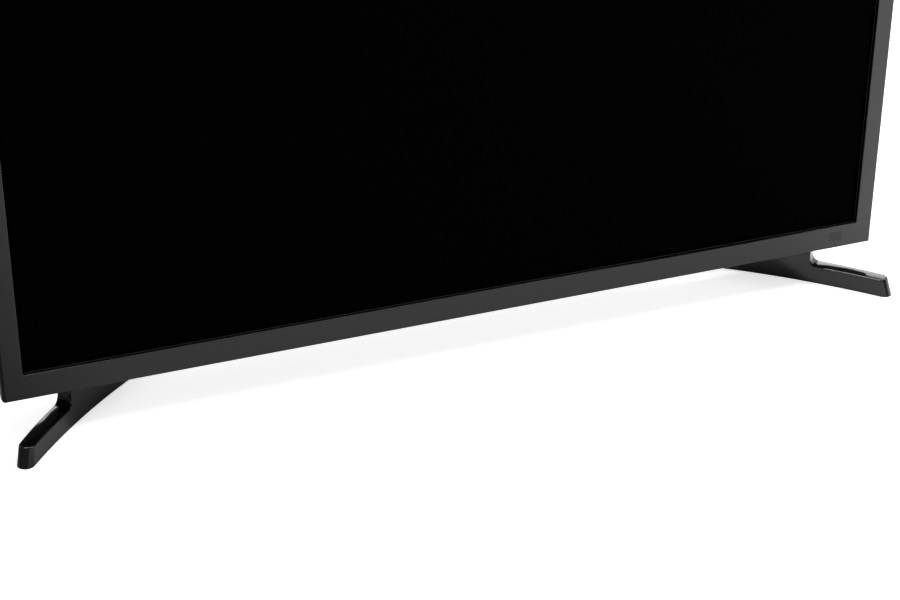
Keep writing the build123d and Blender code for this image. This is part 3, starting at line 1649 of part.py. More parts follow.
def build():
    """Write every node."""
    os.makedirs("parts", exist_ok=True)
    save("front_bezel", front_bezel())
    save("ir_window", sensor_window())
    save("sensor_board", sensor_board())
    save("screen_gasket", screen_gasket())
    save("lcd_panel", lcd_panel())
    save("panel_flex_films", panel_flex_films())
    save("source_board", source_board())
    save("mid_frame", mid_frame())
    save("optical_films", optical_films())
    save("diffuser_plate", diffuser_plate())
    save("back_pan", back_pan())
    save("reflector_sheet", reflector_sheet())
    save("led_bars", led_bars())
    save("led_chips", led_chips())
    save("led_lenses", led_lenses())
    save("wall_mount_posts", wall_mount_posts())
    save("main_board", main_board())
    save("main_board_chips", main_board_chips())
    save("heat_sink", heat_sink())
    save("usb_socket", usb_socket())
    save("hdmi_sockets", hdmi_sockets())
    save("audio_jacks", audio_jacks())
    save("tuner", tuner())
    save("power_board", power_board())
    save("transformers", transformers())
    save("capacitors", capacitors())
    save("mains_choke", mains_choke())
    save("ac_inlet", ac_inlet())
    save("inlet_pins", inlet_pins())
    save("board_screws", board_screws())
    save("panel_ribbon_cable", panel_ribbon_cable())
    save("power_harness", power_harness())
    save("led_leads", led_leads())
    save("speaker_leads", speaker_leads())
    save("control_lead", control_lead())
    for side, name in ((-1, "left"), (1, "right")):
        save("speaker_box_" + name, speaker_box(side))
        save("speaker_surround_" + name, speaker_surround(side))
        save("speaker_cone_" + name, speaker_cone(side))
        save("speaker_magnet_" + name, speaker_magnet(side))
    save("speaker_gaskets", speaker_gaskets())
    save("speaker_grommets", speaker_grommets())
    save("control_board", control_board())
    save("control_base", control_base())
    save("control_ring", control_ring())
    save("control_stem", control_stem())
    save("control_knob", control_knob())
    save("rear_cover", rear_cover())
    save("cover_screws", cover_screws())
    right_foot = foot()
    save("foot_right", right_foot)
    save("foot_left", mirror(right_foot, about=Plane.YZ))
    save("foot_pads", foot_pads())
    save("foot_screws", foot_screws())
    save("stand_brackets", stand_brackets())


build()
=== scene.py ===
import math

import bmesh
import bpy
from bpy.props import FloatProperty, FloatVectorProperty, IntProperty, PointerProperty
from bpy.types import Operator, Panel, PropertyGroup
from mathutils import Matrix, Vector


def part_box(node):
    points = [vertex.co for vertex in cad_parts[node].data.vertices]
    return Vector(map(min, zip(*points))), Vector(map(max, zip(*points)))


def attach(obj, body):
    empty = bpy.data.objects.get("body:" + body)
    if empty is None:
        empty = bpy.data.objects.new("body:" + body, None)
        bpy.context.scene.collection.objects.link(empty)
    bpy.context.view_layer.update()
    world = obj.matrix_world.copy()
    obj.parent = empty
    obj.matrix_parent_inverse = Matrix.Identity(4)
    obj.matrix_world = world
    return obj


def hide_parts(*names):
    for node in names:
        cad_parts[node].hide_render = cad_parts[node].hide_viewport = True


bl_info = {
    "name": "Flat screen television",
    "version": (1, 0, 0),
    "blender": (4, 5, 0),
    "location": "3D View > Sidebar > Television",
    "description": "Finishes and fine detail for a flat screen television on two feet",
    "category": "Object",
}

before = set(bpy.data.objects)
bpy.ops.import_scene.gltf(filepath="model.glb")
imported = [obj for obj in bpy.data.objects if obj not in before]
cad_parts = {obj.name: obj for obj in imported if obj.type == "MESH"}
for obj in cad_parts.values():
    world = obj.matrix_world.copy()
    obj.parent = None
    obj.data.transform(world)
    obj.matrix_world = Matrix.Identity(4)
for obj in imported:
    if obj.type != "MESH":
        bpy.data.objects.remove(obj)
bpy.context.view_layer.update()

SET = "set"
MM = 0.001
PICTURE_WIDTH = 0.6977
PICTURE_HEIGHT = 0.3923
# Corners closer than this are one, in a CAD node's loose triangles and in a new piece.
CAD_WELD = 0.00001
PIECE_WELD = 0.000001
# The least upward share of a normal for its face to count as level.
LEVEL = 0.9999
PLASTIC_IOR = 1.5
# The arc that both feet bow along, in plan: its middle for the right foot, and its radius.
FOOT_ARC_MIDDLE = (-0.1502, -0.4621)
FOOT_ARC_RADIUS = 0.6449
# The right foot's direction from its rear end to its tip.
FOOT_CHORD = Vector((0.724, -0.690, 0.0))
# The photograph's camera, fitted to the frame's edges: place, yaw, pitch, roll and focal length.
CAMERA_PLACE = (-0.55874, -1.30641, 0.73280)
CAMERA_TURN = (22.977, 26.271, 0.197)
FOCAL_PIXELS = 1979.972
PHOTO_PIXELS = 900
SENSOR_WIDTH = 36.0


class TelevisionLook(PropertyGroup):
    """Colours of the moulded parts and the screen."""

    bezel: FloatVectorProperty(
        name="Bezel and feet", description="Colour of the polished mouldings", subtype="COLOR",
        size=3, min=0.0, max=1.0, default=(0.0022, 0.0022, 0.0024))
    cover: FloatVectorProperty(
        name="Rear cover", description="Colour of the textured moulding", subtype="COLOR",
        size=3, min=0.0, max=1.0, default=(0.0130, 0.0130, 0.0137))
    screen: FloatVectorProperty(
        name="Screen", description="Colour of the panel when it is off", subtype="COLOR",
        size=3, min=0.0, max=1.0, default=(0.0003, 0.0003, 0.0004))
    gloss: FloatProperty(
        name="Polish", description="Roughness of the polished mouldings", min=0.0, max=1.0,
        default=0.09)
    grain: FloatProperty(
        name="Texture depth", description="Depth of the rear cover's moulded texture",
        min=0.0, max=0.001, default=0.00004, unit="LENGTH", precision=6)


class TelevisionDetail(PropertyGroup):
    """Sizes of the small hardware."""

    screw_head: FloatProperty(
        name="Screw head radius", description="Radius of the cover screws' heads",
        min=0.001, max=0.01, default=0.0029, unit="LENGTH", precision=5)
    screw_dome: FloatProperty(
        name="Screw dome", description="Height of the cover screws' heads",
        min=0.0005, max=0.01, default=0.0018, unit="LENGTH", precision=5)
    thread_pitch: FloatProperty(
        name="Aerial thread pitch", description="Distance between the aerial thread's turns",
        min=0.0003, max=0.003, default=0.0008, unit="LENGTH", precision=5)
    crown_radius: FloatProperty(
        name="Foot crown radius", description="Radius of the feet's slightly rounded tops",
        min=0.01, max=1.0, default=0.043, unit="LENGTH", precision=4)
    crown_shift: FloatProperty(
        name="Foot crown shift", description="Distance of the crown's ridge outside the foot's arc",
        min=-0.01, max=0.01, default=0.0036, unit="LENGTH", precision=4)
    hdmi_contacts: IntProperty(
        name="Video contacts", description="Contacts on each side of a digital video tongue",
        min=2, max=12, default=10)
    usb_contacts: IntProperty(
        name="Memory stick contacts", description="Contacts on the memory stick socket's tongue",
        min=2, max=8, default=4)


def srgb(code):
    """A linear colour from an sRGB hex value."""
    values = [int(code[i:i + 2], 16) / 255 for i in (0, 2, 4)]
    linear = [v / 12.92 if v <= 0.04045 else ((v + 0.055) / 1.055) ** 2.4 for v in values]
    return (*linear, 1.0)


def add_node(tree, kind, settings=None, inputs=None, links=None):
    """A shader node with its settings, its input values and its links."""
    node = tree.nodes.new(kind)
    for key, value in (settings or {}).items():
        setattr(node, key, value)
    for key, value in (inputs or {}).items():
        node.inputs[key].default_value = value
    for key, socket in (links or {}).items():
        tree.links.new(socket, node.inputs[key])
    return node


def new_material(name, inputs):
    """A material with one Principled shader, whose constant values are given."""
    material = bpy.data.materials.new(name)
    material.use_nodes = True
    tree = material.node_tree
    tree.nodes.clear()
    shader = add_node(tree, "ShaderNodeBsdfPrincipled", inputs=inputs)
    add_node(tree, "ShaderNodeOutputMaterial", links={"Surface": shader.outputs["BSDF"]})
    return material, tree, shader


def object_noise(tree, size, detail=3.0, roughness=0.5, stretch=(1.0, 1.0, 1.0)):
    """Noise whose grains are about as wide as size, in metres, fixed to the object."""
    place = add_node(tree, "ShaderNodeTexCoord")
    turned = add_node(tree, "ShaderNodeMapping", inputs={"Scale": stretch},
                      links={"Vector": place.outputs["Object"]})
    return add_node(tree, "ShaderNodeTexNoise",
                    inputs={"Scale": 1.0 / size, "Detail": detail, "Roughness": roughness},
                    links={"Vector": turned.outputs["Vector"]})


def colour_between(tree, shader, noise, low, high, start=0.35, end=0.65):
    """The shader's colour varies between two colours with the noise."""
    ramp = add_node(tree, "ShaderNodeValToRGB", links={"Fac": noise.outputs["Fac"]})
    ramp.color_ramp.elements[0].position = start
    ramp.color_ramp.elements[0].color = low
    ramp.color_ramp.elements[1].position = end
    ramp.color_ramp.elements[1].color = high
    tree.links.new(ramp.outputs["Color"], shader.inputs["Base Color"])


def roughness_between(tree, shader, noise, low, high):
    """The shader's roughness varies between two values with the noise."""
    spread = add_node(tree, "ShaderNodeMapRange",
                      inputs={"From Min": 0.3, "From Max": 0.7, "To Min": low, "To Max": high},
                      links={"Value": noise.outputs["Fac"]})
    tree.links.new(spread.outputs["Result"], shader.inputs["Roughness"])


def bump_from(tree, shader, noise, depth):
    """Fine relief on the shader from the noise, as deep as depth in metres."""
    bump = add_node(tree, "ShaderNodeBump", inputs={"Strength": 1.0, "Distance": depth},
                    links={"Height": noise.outputs["Fac"]})
    tree.links.new(bump.outputs["Normal"], shader.inputs["Normal"])


def shade(colour, factor):
    """A colour made lighter or darker, with full alpha."""
    return (*[min(1.0, c * factor) for c in colour[:3]], 1.0)


def moulding(name, colour, roughness, grain=1.2 * MM, depth=0.006 * MM, spread=0.25):
    """A moulded plastic with faint flow shading and a fine skin."""
    material, tree, shader = new_material(name, {"IOR": PLASTIC_IOR})
    flow = object_noise(tree, 45 * MM, detail=2.0)
    colour_between(tree, shader, flow, shade(colour, 1 - spread), shade(colour, 1 + spread))
    skin = object_noise(tree, grain, detail=4.0, roughness=0.6)
    roughness_between(tree, shader, skin, roughness * 0.8, roughness * 1.2)
    bump_from(tree, shader, skin, depth)
    return material


def metal(name, colour, roughness, stretch=(1.0, 1.0, 1.0), grain=0.8 * MM, depth=0.004 * MM):
    """A metal with a drawn or plated grain."""
    material, tree, shader = new_material(name, {"Metallic": 1.0})
    grains = object_noise(tree, grain, detail=3.0, stretch=stretch)
    colour_between(tree, shader, grains, shade(colour, 0.85), shade(colour, 1.1))
    roughness_between(tree, shader, grains, roughness * 0.75, roughness * 1.3)
    bump_from(tree, shader, grains, depth)
    return material


def dress(material, *names):
    """Give a material to CAD nodes."""
    for name in names:
        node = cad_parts[name]
        if not node.material_slots:
            node.data.materials.append(material)
        for material_slot in node.material_slots:
            material_slot.material = material


def finish_piece(name, shape, material, body, smooth_angle=35, replaced=()):
    """Turn a bmesh into a piece at the origin that rides on a body."""
    bmesh.ops.remove_doubles(shape, verts=shape.verts, dist=PIECE_WELD)
    bmesh.ops.recalc_face_normals(shape, faces=shape.faces)
    limit = math.radians(smooth_angle)
    for face in shape.faces:
        face.smooth = True
    for edge in shape.edges:
        edge.smooth = len(edge.link_faces) == 2 and edge.calc_face_angle(0.0) < limit
    mesh = bpy.data.meshes.new(name)
    shape.to_mesh(mesh)
    shape.free()
    mesh.materials.append(material)
    piece = bpy.data.objects.new(name, mesh)
    bpy.context.scene.collection.objects.link(piece)
    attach(piece, body)
    if replaced:
        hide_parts(*replaced)
    return piece


def spin_profile(shape, points, steps):
    """A closed turned form round Y from a profile whose ends lie on the axis."""
    verts = [shape.verts.new(point) for point in points]
    edges = [shape.edges.new((a, b)) for a, b in zip(verts, verts[1:])]
    bmesh.ops.spin(shape, geom=verts + edges, cent=(0, 0, 0), axis=(0, 1, 0),
                   angle=2 * math.pi, steps=steps, use_merge=True)


def add_box(shape, low, high, bevel=0.0):
    """A block between two corners, with its edges eased."""
    made = bmesh.ops.create_cube(shape, size=1.0)
    size = [b - a for a, b in zip(low, high)]
    middle = [(a + b) / 2 for a, b in zip(low, high)]
    place = Matrix.Translation(middle) @ Matrix.Diagonal((*size, 1.0))
    bmesh.ops.transform(shape, matrix=place, verts=made["verts"])
    if bevel > 0:
        edges = list({e for v in made["verts"] for e in v.link_edges})
        bmesh.ops.bevel(shape, geom=edges, offset=bevel, segments=2, profile=0.5,
                        affect="EDGES", material=-1)
    return made["verts"]


def loose_places(node):
    """The two corners of the box of each separate solid of a CAD node."""
    copy = bmesh.new()
    copy.from_mesh(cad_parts[node].data)
    bmesh.ops.remove_doubles(copy, verts=copy.verts, dist=CAD_WELD)
    seen = set()
    boxes = []
    for start in copy.verts:
        if start in seen:
            continue
        stack = [start]
        seen.add(start)
        members = []
        while stack:
            vert = stack.pop()
            members.append(vert.co.copy())
            for edge in vert.link_edges:
                other = edge.other_vert(vert)
                if other not in seen:
                    seen.add(other)
                    stack.append(other)
        low = Vector([min(m[i] for m in members) for i in range(3)])
        high = Vector([max(m[i] for m in members) for i in range(3)])
        boxes.append((low, high))
    copy.free()
    return sorted(boxes, key=lambda pair: tuple(pair[0]))


class TV_OT_bezel(Operator):
    """Polished moulded ABS on the bezel, with the dark window for the remote control."""

    bl_idname = "television.bezel"
    bl_label = "Bezel"

    def execute(self, context):
        look = context.scene.television_look
        # Piano black ABS: dyed through, polished tool, a faint orange peel in reflections.
        material, tree, shader = new_material("polished moulded ABS", {"IOR": PLASTIC_IOR})
        flow = object_noise(tree, 60 * MM, detail=2.0)
        colour_between(tree, shader, flow, shade(look.bezel, 0.8), shade(look.bezel, 1.25))
        skin = object_noise(tree, 6 * MM, detail=2.0)
        roughness_between(tree, shader, skin, look.gloss * 0.85, look.gloss * 1.2)
        bump_from(tree, shader, skin, 0.0015 * MM)
        dress(material, "front_bezel")
        # Infrared-clear acrylic: nearly black to the eye, with a trace of red in it.
        material, tree, shader = new_material("infrared acrylic", {"IOR": 1.42})
        tint = object_noise(tree, 9 * MM, detail=1.0)
        colour_between(tree, shader, tint, srgb("070304"), srgb("0c0506"))
        roughness_between(tree, shader, tint, 0.08, 0.14)
        dress(material, "ir_window")
        return {"FINISHED"}


class TV_OT_screen(Operator):
    """The dark front polariser, with the black border round the picture."""

    bl_idname = "television.screen"
    bl_label = "Screen"

    def execute(self, context):
        look = context.scene.television_look
        # Triacetate polariser with an anti-reflection hard coat: almost no shine when off.
        material, tree, shader = new_material("coated front polariser", {"IOR": 1.04})
        place = add_node(tree, "ShaderNodeTexCoord")
        axes = add_node(tree, "ShaderNodeSeparateXYZ", links={"Vector": place.outputs["Object"]})
        low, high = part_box("lcd_panel")
        middle = (low + high) / 2
        sides = []
        for name, centre, half in (("X", middle.x, PICTURE_WIDTH / 2),
                                   ("Z", middle.z, PICTURE_HEIGHT / 2)):
            away = add_node(tree, "ShaderNodeMath", {"operation": "SUBTRACT"}, {1: centre},
                            {0: axes.outputs[name]})
            size = add_node(tree, "ShaderNodeMath", {"operation": "ABSOLUTE"},
                            links={0: away.outputs["Value"]})
            inside = add_node(tree, "ShaderNodeMath", {"operation": "LESS_THAN"}, {1: half},
                              {0: size.outputs["Value"]})
            sides.append(inside.outputs["Value"])
        picture = add_node(tree, "ShaderNodeMath", {"operation": "MULTIPLY"},
                           links={0: sides[0], 1: sides[1]})
        tone = add_node(tree, "ShaderNodeMix", {"data_type": "RGBA"},
                        links={"Factor": picture.outputs["Value"]})
        tone.inputs[6].default_value = shade(look.screen, 0.2)
        tone.inputs[7].default_value = shade(look.screen, 1.0)
        tree.links.new(tone.outputs[2], shader.inputs["Base Color"])
        haze = object_noise(tree, 0.5 * MM, detail=2.0)
        roughness_between(tree, shader, haze, 0.22, 0.3)
        dress(material, "lcd_panel")
        # Polyimide film, milky sheet and the polycarbonate frame behind the glass.
        dress(moulding("polyimide film", srgb("7a4a16"), 0.35), "panel_flex_films")
        dress(moulding("milky diffusing sheet", srgb("e8eaea"), 0.5, spread=0.03),
              "optical_films", "diffuser_plate", "reflector_sheet")
        dress(moulding("moulded polycarbonate", srgb("1c1c1d"), 0.45), "mid_frame")
        dress(moulding("closed-cell foam", srgb("0d0d0d"), 0.9, grain=0.7 * MM, depth=0.08 * MM),
              "screen_gasket", "speaker_gaskets")
        return {"FINISHED"}


class TV_OT_rear_cover(Operator):
    """Spark-textured polystyrene on the rear cover and the control's cap."""

    bl_idname = "television.rear_cover"
    bl_label = "Rear cover"

    def execute(self, context):
        look = context.scene.television_look
        # High impact polystyrene from a spark-eroded tool. The real grain is 0.2 mm wide;
        # it is drawn 0.9 mm wide so that it shows.
        material, tree, shader = new_material("spark-textured polystyrene", {"IOR": PLASTIC_IOR})
        flow = object_noise(tree, 80 * MM, detail=3.0)
        colour_between(tree, shader, flow, shade(look.cover, 0.85), shade(look.cover, 1.2))
        grain = object_noise(tree, 0.9 * MM, detail=5.0, roughness=0.65)
        roughness_between(tree, shader, grain, 0.42, 0.58)
        bump_from(tree, shader, grain, look.grain)
        dress(material, "rear_cover", "control_knob")
        return {"FINISHED"}


class TV_OT_feet(Operator):
    """Polished ABS on the feet, matt rubber on their pads."""

    bl_idname = "television.feet"
    bl_label = "Feet"

    def execute(self, context):
        look = context.scene.television_look
        # The same piano black ABS as the bezel, from its own tool.
        material, tree, shader = new_material("polished foot moulding", {"IOR": PLASTIC_IOR})
        flow = object_noise(tree, 30 * MM, detail=2.0)
        colour_between(tree, shader, flow, shade(look.bezel, 0.8), shade(look.bezel, 1.25))
        skin = object_noise(tree, 5 * MM, detail=2.0)
        roughness_between(tree, shader, skin, look.gloss * 0.9, look.gloss * 1.3)
        bump_from(tree, shader, skin, 0.0015 * MM)
        detail = context.scene.television_detail
        for name, side in (("foot_left", -1), ("foot_right", 1)):
            self.crown(name, side, material, detail.crown_radius, detail.crown_shift)
        dress(moulding("matt rubber", srgb("1b1b1b"), 0.8, grain=1.0 * MM, depth=0.03 * MM),
              "foot_pads", "speaker_grommets", "speaker_surround_left", "speaker_surround_right")
        return {"FINISHED"}

    def crown(self, name, side, material, radius, shift):
        """The foot's own mesh with its flat top cut finely and bent to the moulding's slight crown."""
        shape = bmesh.new()
        shape.from_mesh(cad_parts[name].data)
        bmesh.ops.remove_doubles(shape, verts=shape.verts, dist=CAD_WELD)
        top = self.top_height(shape)
        # Only the top's rim is bent; the bend dies away down the side and up the neck.
        rim, side_blend, neck_blend = 1.5 * MM, 3 * MM, 6 * MM
        flat = [f for f in shape.faces
                if f.normal.z > LEVEL and abs(f.calc_center_median().z - top) < 0.01 * MM]
        if not flat:
            raise RuntimeError("no flat top was found on " + name)
        bmesh.ops.dissolve_faces(shape, faces=flat)
        faces = [f for f in shape.faces if min(v.co.z for v in f.verts) > top - rim]
        cut = list({item for f in faces for item in (f, *f.edges, *f.verts)})
        along = Vector((side * FOOT_CHORD.x, FOOT_CHORD.y, 0.0)).normalized()
        across = Vector((-along.y, along.x, 0.0))
        for direction, pitch in ((along, 2.5 * MM), (across, 1.1 * MM)):
            reach = [v.co.dot(direction) for v in shape.verts]
            steps = int((max(reach) - min(reach)) / pitch)
            for n in range(1, steps + 1):
                made = bmesh.ops.bisect_plane(shape, geom=cut, dist=CAD_WELD,
                                              plane_co=direction * (min(reach) + n * pitch),
                                              plane_no=direction)
                cut = made["geom"]
        middle = Vector((side * FOOT_ARC_MIDDLE[0], FOOT_ARC_MIDDLE[1]))
        for vert in shape.verts:
            out = (vert.co.xy - middle).length - FOOT_ARC_RADIUS - shift
            over = (vert.co.z - top) / neck_blend
            under = (top - rim - vert.co.z) / side_blend
            share = 1.0 - min(1.0, max(0.0, over, under))
            vert.co.z -= share * out * out / (2 * radius)
        piece = finish_piece(name + "_crowned", shape, material, SET,
                             replaced=(name,))
        even = piece.modifiers.new("even shading", "WEIGHTED_NORMAL")
        even.keep_sharp = True

    def top_height(self, shape):
        """Height of the foot's flat top: the level at which most of its level faces lie."""
        areas = {}
        for face in shape.faces:
            if face.normal.z > LEVEL:
                level = round(face.calc_center_median().z, 5)
                areas[level] = areas.get(level, 0.0) + face.calc_area()
        return max(areas, key=areas.get)


class TV_OT_sockets(Operator):
    """Plated shells, nylon jacks and their gilt contacts."""

    bl_idname = "television.sockets"
    bl_label = "Sockets"

    def execute(self, context):
        detail = context.scene.television_detail
        # Tin plated steel strip, folded: bright, with faint drawing lines along the socket.
        dress(metal("tin plated steel", srgb("c4c2bc"), 0.26, stretch=(0.15, 1.0, 1.0)),
              "usb_socket", "hdmi_sockets", "tuner")
        dress(moulding("moulded nylon", srgb("151515"), 0.5, grain=0.6 * MM, depth=0.01 * MM),
              "audio_jacks", "ac_inlet")
        dress(metal("nickel plated brass", srgb("cfc7b0"), 0.22), "inlet_pins")
        gilt = metal("gilt contact", srgb("e0b85a"), 0.25, grain=0.5 * MM)
        shape = bmesh.new()
        for node, count, pitch in (("hdmi_sockets", detail.hdmi_contacts, 1.0 * MM),
                                   ("usb_socket", detail.usb_contacts, 2.5 * MM)):
            for low, high in loose_places(node):
                self.add_contacts(shape, low, high, count, pitch)
        if not shape.verts:
            self.report({"ERROR"}, "No socket was found for the contacts")
            raise RuntimeError("no socket was found for the contacts")
        finish_piece("socket_contacts", shape, gilt, SET)
        return {"FINISHED"}

    def add_contacts(self, shape, low, high, count, pitch):
        """Contact strips on the front of one socket's tongue."""
        width = 0.45 * pitch
        lift = 0.15 * MM
        length, inset, easing = 6 * MM, 2.4 * MM, 0.03 * MM
        y = (low.y + high.y) / 2
        z = (low.z + high.z) / 2
        half = 0.5 * MM if count > 4 else 0.95 * MM
        mouth = high.x - inset
        for n in range(count):
            place = z + (n - (count - 1) / 2) * pitch
            add_box(shape, (mouth - length, y + half, place - width / 2),
                    (mouth, y + half + lift, place + width / 2), bevel=easing)


class TV_OT_aerial_thread(Operator):
    """The fine thread on the aerial socket's barrel."""

    bl_idname = "television.aerial_thread"
    bl_label = "Aerial thread"

    def execute(self, context):
        detail = context.scene.television_detail
        low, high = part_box("tuner")
        radius = 4.7 * MM
        crest = radius + 0.28 * MM
        root = radius - 0.05 * MM
        y = low.y + 6.0 * MM
        z = (low.z + high.z) / 2
        start = high.x - 8.2 * MM
        end = high.x - 0.8 * MM
        turns = int((end - start) / detail.thread_pitch)
        if turns < 1:
            raise RuntimeError("the aerial's barrel is too short for a thread")
        shape = bmesh.new()
        for n in range(turns):
            x = start + n * detail.thread_pitch
            half = detail.thread_pitch * 0.45
            points = [(x, y, z + root), (x + half, y, z + crest), (x + 2 * half, y, z + root)]
            verts = [shape.verts.new(p) for p in points]
            edges = [shape.edges.new((verts[i], verts[(i + 1) % 3])) for i in range(3)]
            bmesh.ops.spin(shape, geom=verts + edges, cent=(0, y, z), axis=(1, 0, 0),
                           angle=2 * math.pi, steps=40, use_merge=True)
        plating = bpy.data.materials["tin plated steel"]
        finish_piece("aerial_thread", shape, plating, SET)
        return {"FINISHED"}


class TV_OT_cover_screws(Operator):
    """Domed cross-recess screws in the rear cover's wells."""

    bl_idname = "television.cover_screws"
    bl_label = "Cover screws"

    def execute(self, context):
        detail = context.scene.television_detail
        # Black zinc on steel: dark, a little oily in its shine.
        steel = metal("black zinc steel", srgb("2b2b2d"), 0.38, grain=0.5 * MM)
        dress(steel, "board_screws", "foot_screws", "cover_screws")
        shape = bmesh.new()
        for low, high in loose_places("cover_screws"):
            self.add_head(shape, (low.x + high.x) / 2, (low.z + high.z) / 2, low.y, high.y,
                          detail.screw_head, detail.screw_dome)
        finish_piece("cover_screw_heads", shape, steel, SET,
                     replaced=("cover_screws",))
        return {"FINISHED"}

    def add_head(self, shape, x, z, front, back, radius, dome):
        """One screw: shank, domed head, its recess and the cross that marks it."""
        seat = back - dome
        shank = 1.5 * MM
        points = [(0, front, 0), (shank * 0.8, front, 0), (shank, front + 0.6 * MM, 0),
                  (shank, seat, 0), (radius, seat, 0), (radius, seat + dome * 0.35, 0)]
        for step in range(1, 5):
            angle = math.radians(90 * step / 5)
            points.append((radius * math.cos(angle), seat + dome * (0.35 + 0.65 * math.sin(angle)), 0))
        rim = 0.55 * MM
        points += [(rim, back, 0), (rim * 0.8, back - dome * 0.6, 0), (0, back - dome * 0.75, 0)]
        before = set(shape.verts)
        spin_profile(shape, points, 28)
        added = [v for v in shape.verts if v not in before]
        bmesh.ops.transform(shape, matrix=Matrix.Translation((x, 0, z)), verts=added)
        reach, half, stand = 1.6 * MM, 0.28 * MM, 0.02 * MM
        for turn in (20, 110):
            arms = add_box(shape, (-reach, back - dome * 0.28, -half), (reach, back + stand, half))
            place = Matrix.Translation((x, 0, z)) @ Matrix.Rotation(math.radians(turn), 4, "Y")
            bmesh.ops.transform(shape, matrix=place, verts=arms)


class TV_OT_insides(Operator):
    """Finishes for the boards, the backlight, the speakers and the leads."""

    bl_idname = "television.insides"
    bl_label = "Insides"

    def execute(self, context):
        # Glass-epoxy with green solder mask: satin, copper showing through as paler tracks.
        material, tree, shader = new_material("solder-masked glass epoxy", {"IOR": PLASTIC_IOR})
        tracks = object_noise(tree, 3 * MM, detail=1.0, stretch=(1.0, 1.0, 0.2))
        colour_between(tree, shader, tracks, srgb("0d3a22"), srgb("1b5a35"), 0.48, 0.52)
        roughness_between(tree, shader, tracks, 0.3, 0.42)
        dress(material, "sensor_board", "source_board", "main_board", "power_board",
              "control_board")
        # Hot-dip galvanised sheet: grey spangle about a centimetre across.
        material, tree, shader = new_material("galvanised sheet", {"Metallic": 1.0})
        place = add_node(tree, "ShaderNodeTexCoord")
        spangle = add_node(tree, "ShaderNodeTexVoronoi", inputs={"Scale": 1.0 / (9 * MM)},
                           links={"Vector": place.outputs["Object"]})
        grey = add_node(tree, "ShaderNodeValToRGB", links={"Fac": spangle.outputs["Color"]})
        grey.color_ramp.elements[0].color = srgb("8d9194")
        grey.color_ramp.elements[1].color = srgb("b2b6b9")
        tree.links.new(grey.outputs["Color"], shader.inputs["Base Color"])
        fine = object_noise(tree, 0.8 * MM)
        roughness_between(tree, shader, fine, 0.35, 0.5)
        dress(material, "back_pan", "stand_brackets", "wall_mount_posts")
        dress(metal("anodised aluminium", srgb("c9cbcd"), 0.35, stretch=(1.0, 1.0, 0.1)),
              "heat_sink", "led_bars")
        dress(moulding("phosphor silicone", srgb("e0c24a"), 0.4), "led_chips")
        dress(moulding("moulded epoxy", srgb("161617"), 0.45), "main_board_chips")
        dress(moulding("winding tape", srgb("d2b12c"), 0.35, spread=0.1), "transformers")
        dress(moulding("shrunk sleeve", srgb("15152b"), 0.3), "capacitors")
        dress(metal("enamelled copper", srgb("b4622c"), 0.3, stretch=(3.0, 1.0, 3.0)),
              "mains_choke")
        dress(moulding("ribbon insulation", srgb("b9bcc0"), 0.45, spread=0.06),
              "panel_ribbon_cable", "power_harness")
        dress(moulding("sleeved lead", srgb("18181a"), 0.6),
              "led_leads", "speaker_leads", "control_lead")
        dress(moulding("speaker housing ABS", srgb("1a1a1b"), 0.5),
              "speaker_box_left", "speaker_box_right")
        dress(moulding("paper pulp", srgb("2a2926"), 0.85, grain=0.8 * MM, depth=0.05 * MM),
              "speaker_cone_left", "speaker_cone_right")
        dress(metal("sintered ferrite", srgb("4a4a4d"), 0.6),
              "speaker_magnet_left", "speaker_magnet_right")
        dress(moulding("moulded acetal", srgb("d8d8d2"), 0.4, spread=0.05),
              "control_base", "control_ring", "control_stem")
        # Clear acrylic lenses over the lamps.
        material, tree, shader = new_material("clear acrylic",
                                              {"IOR": 1.49, "Transmission Weight": 1.0})
        haze = object_noise(tree, 2 * MM)
        colour_between(tree, shader, haze, srgb("eef2f2"), srgb("ffffff"))
        roughness_between(tree, shader, haze, 0.02, 0.06)
        dress(material, "led_lenses")
        return {"FINISHED"}


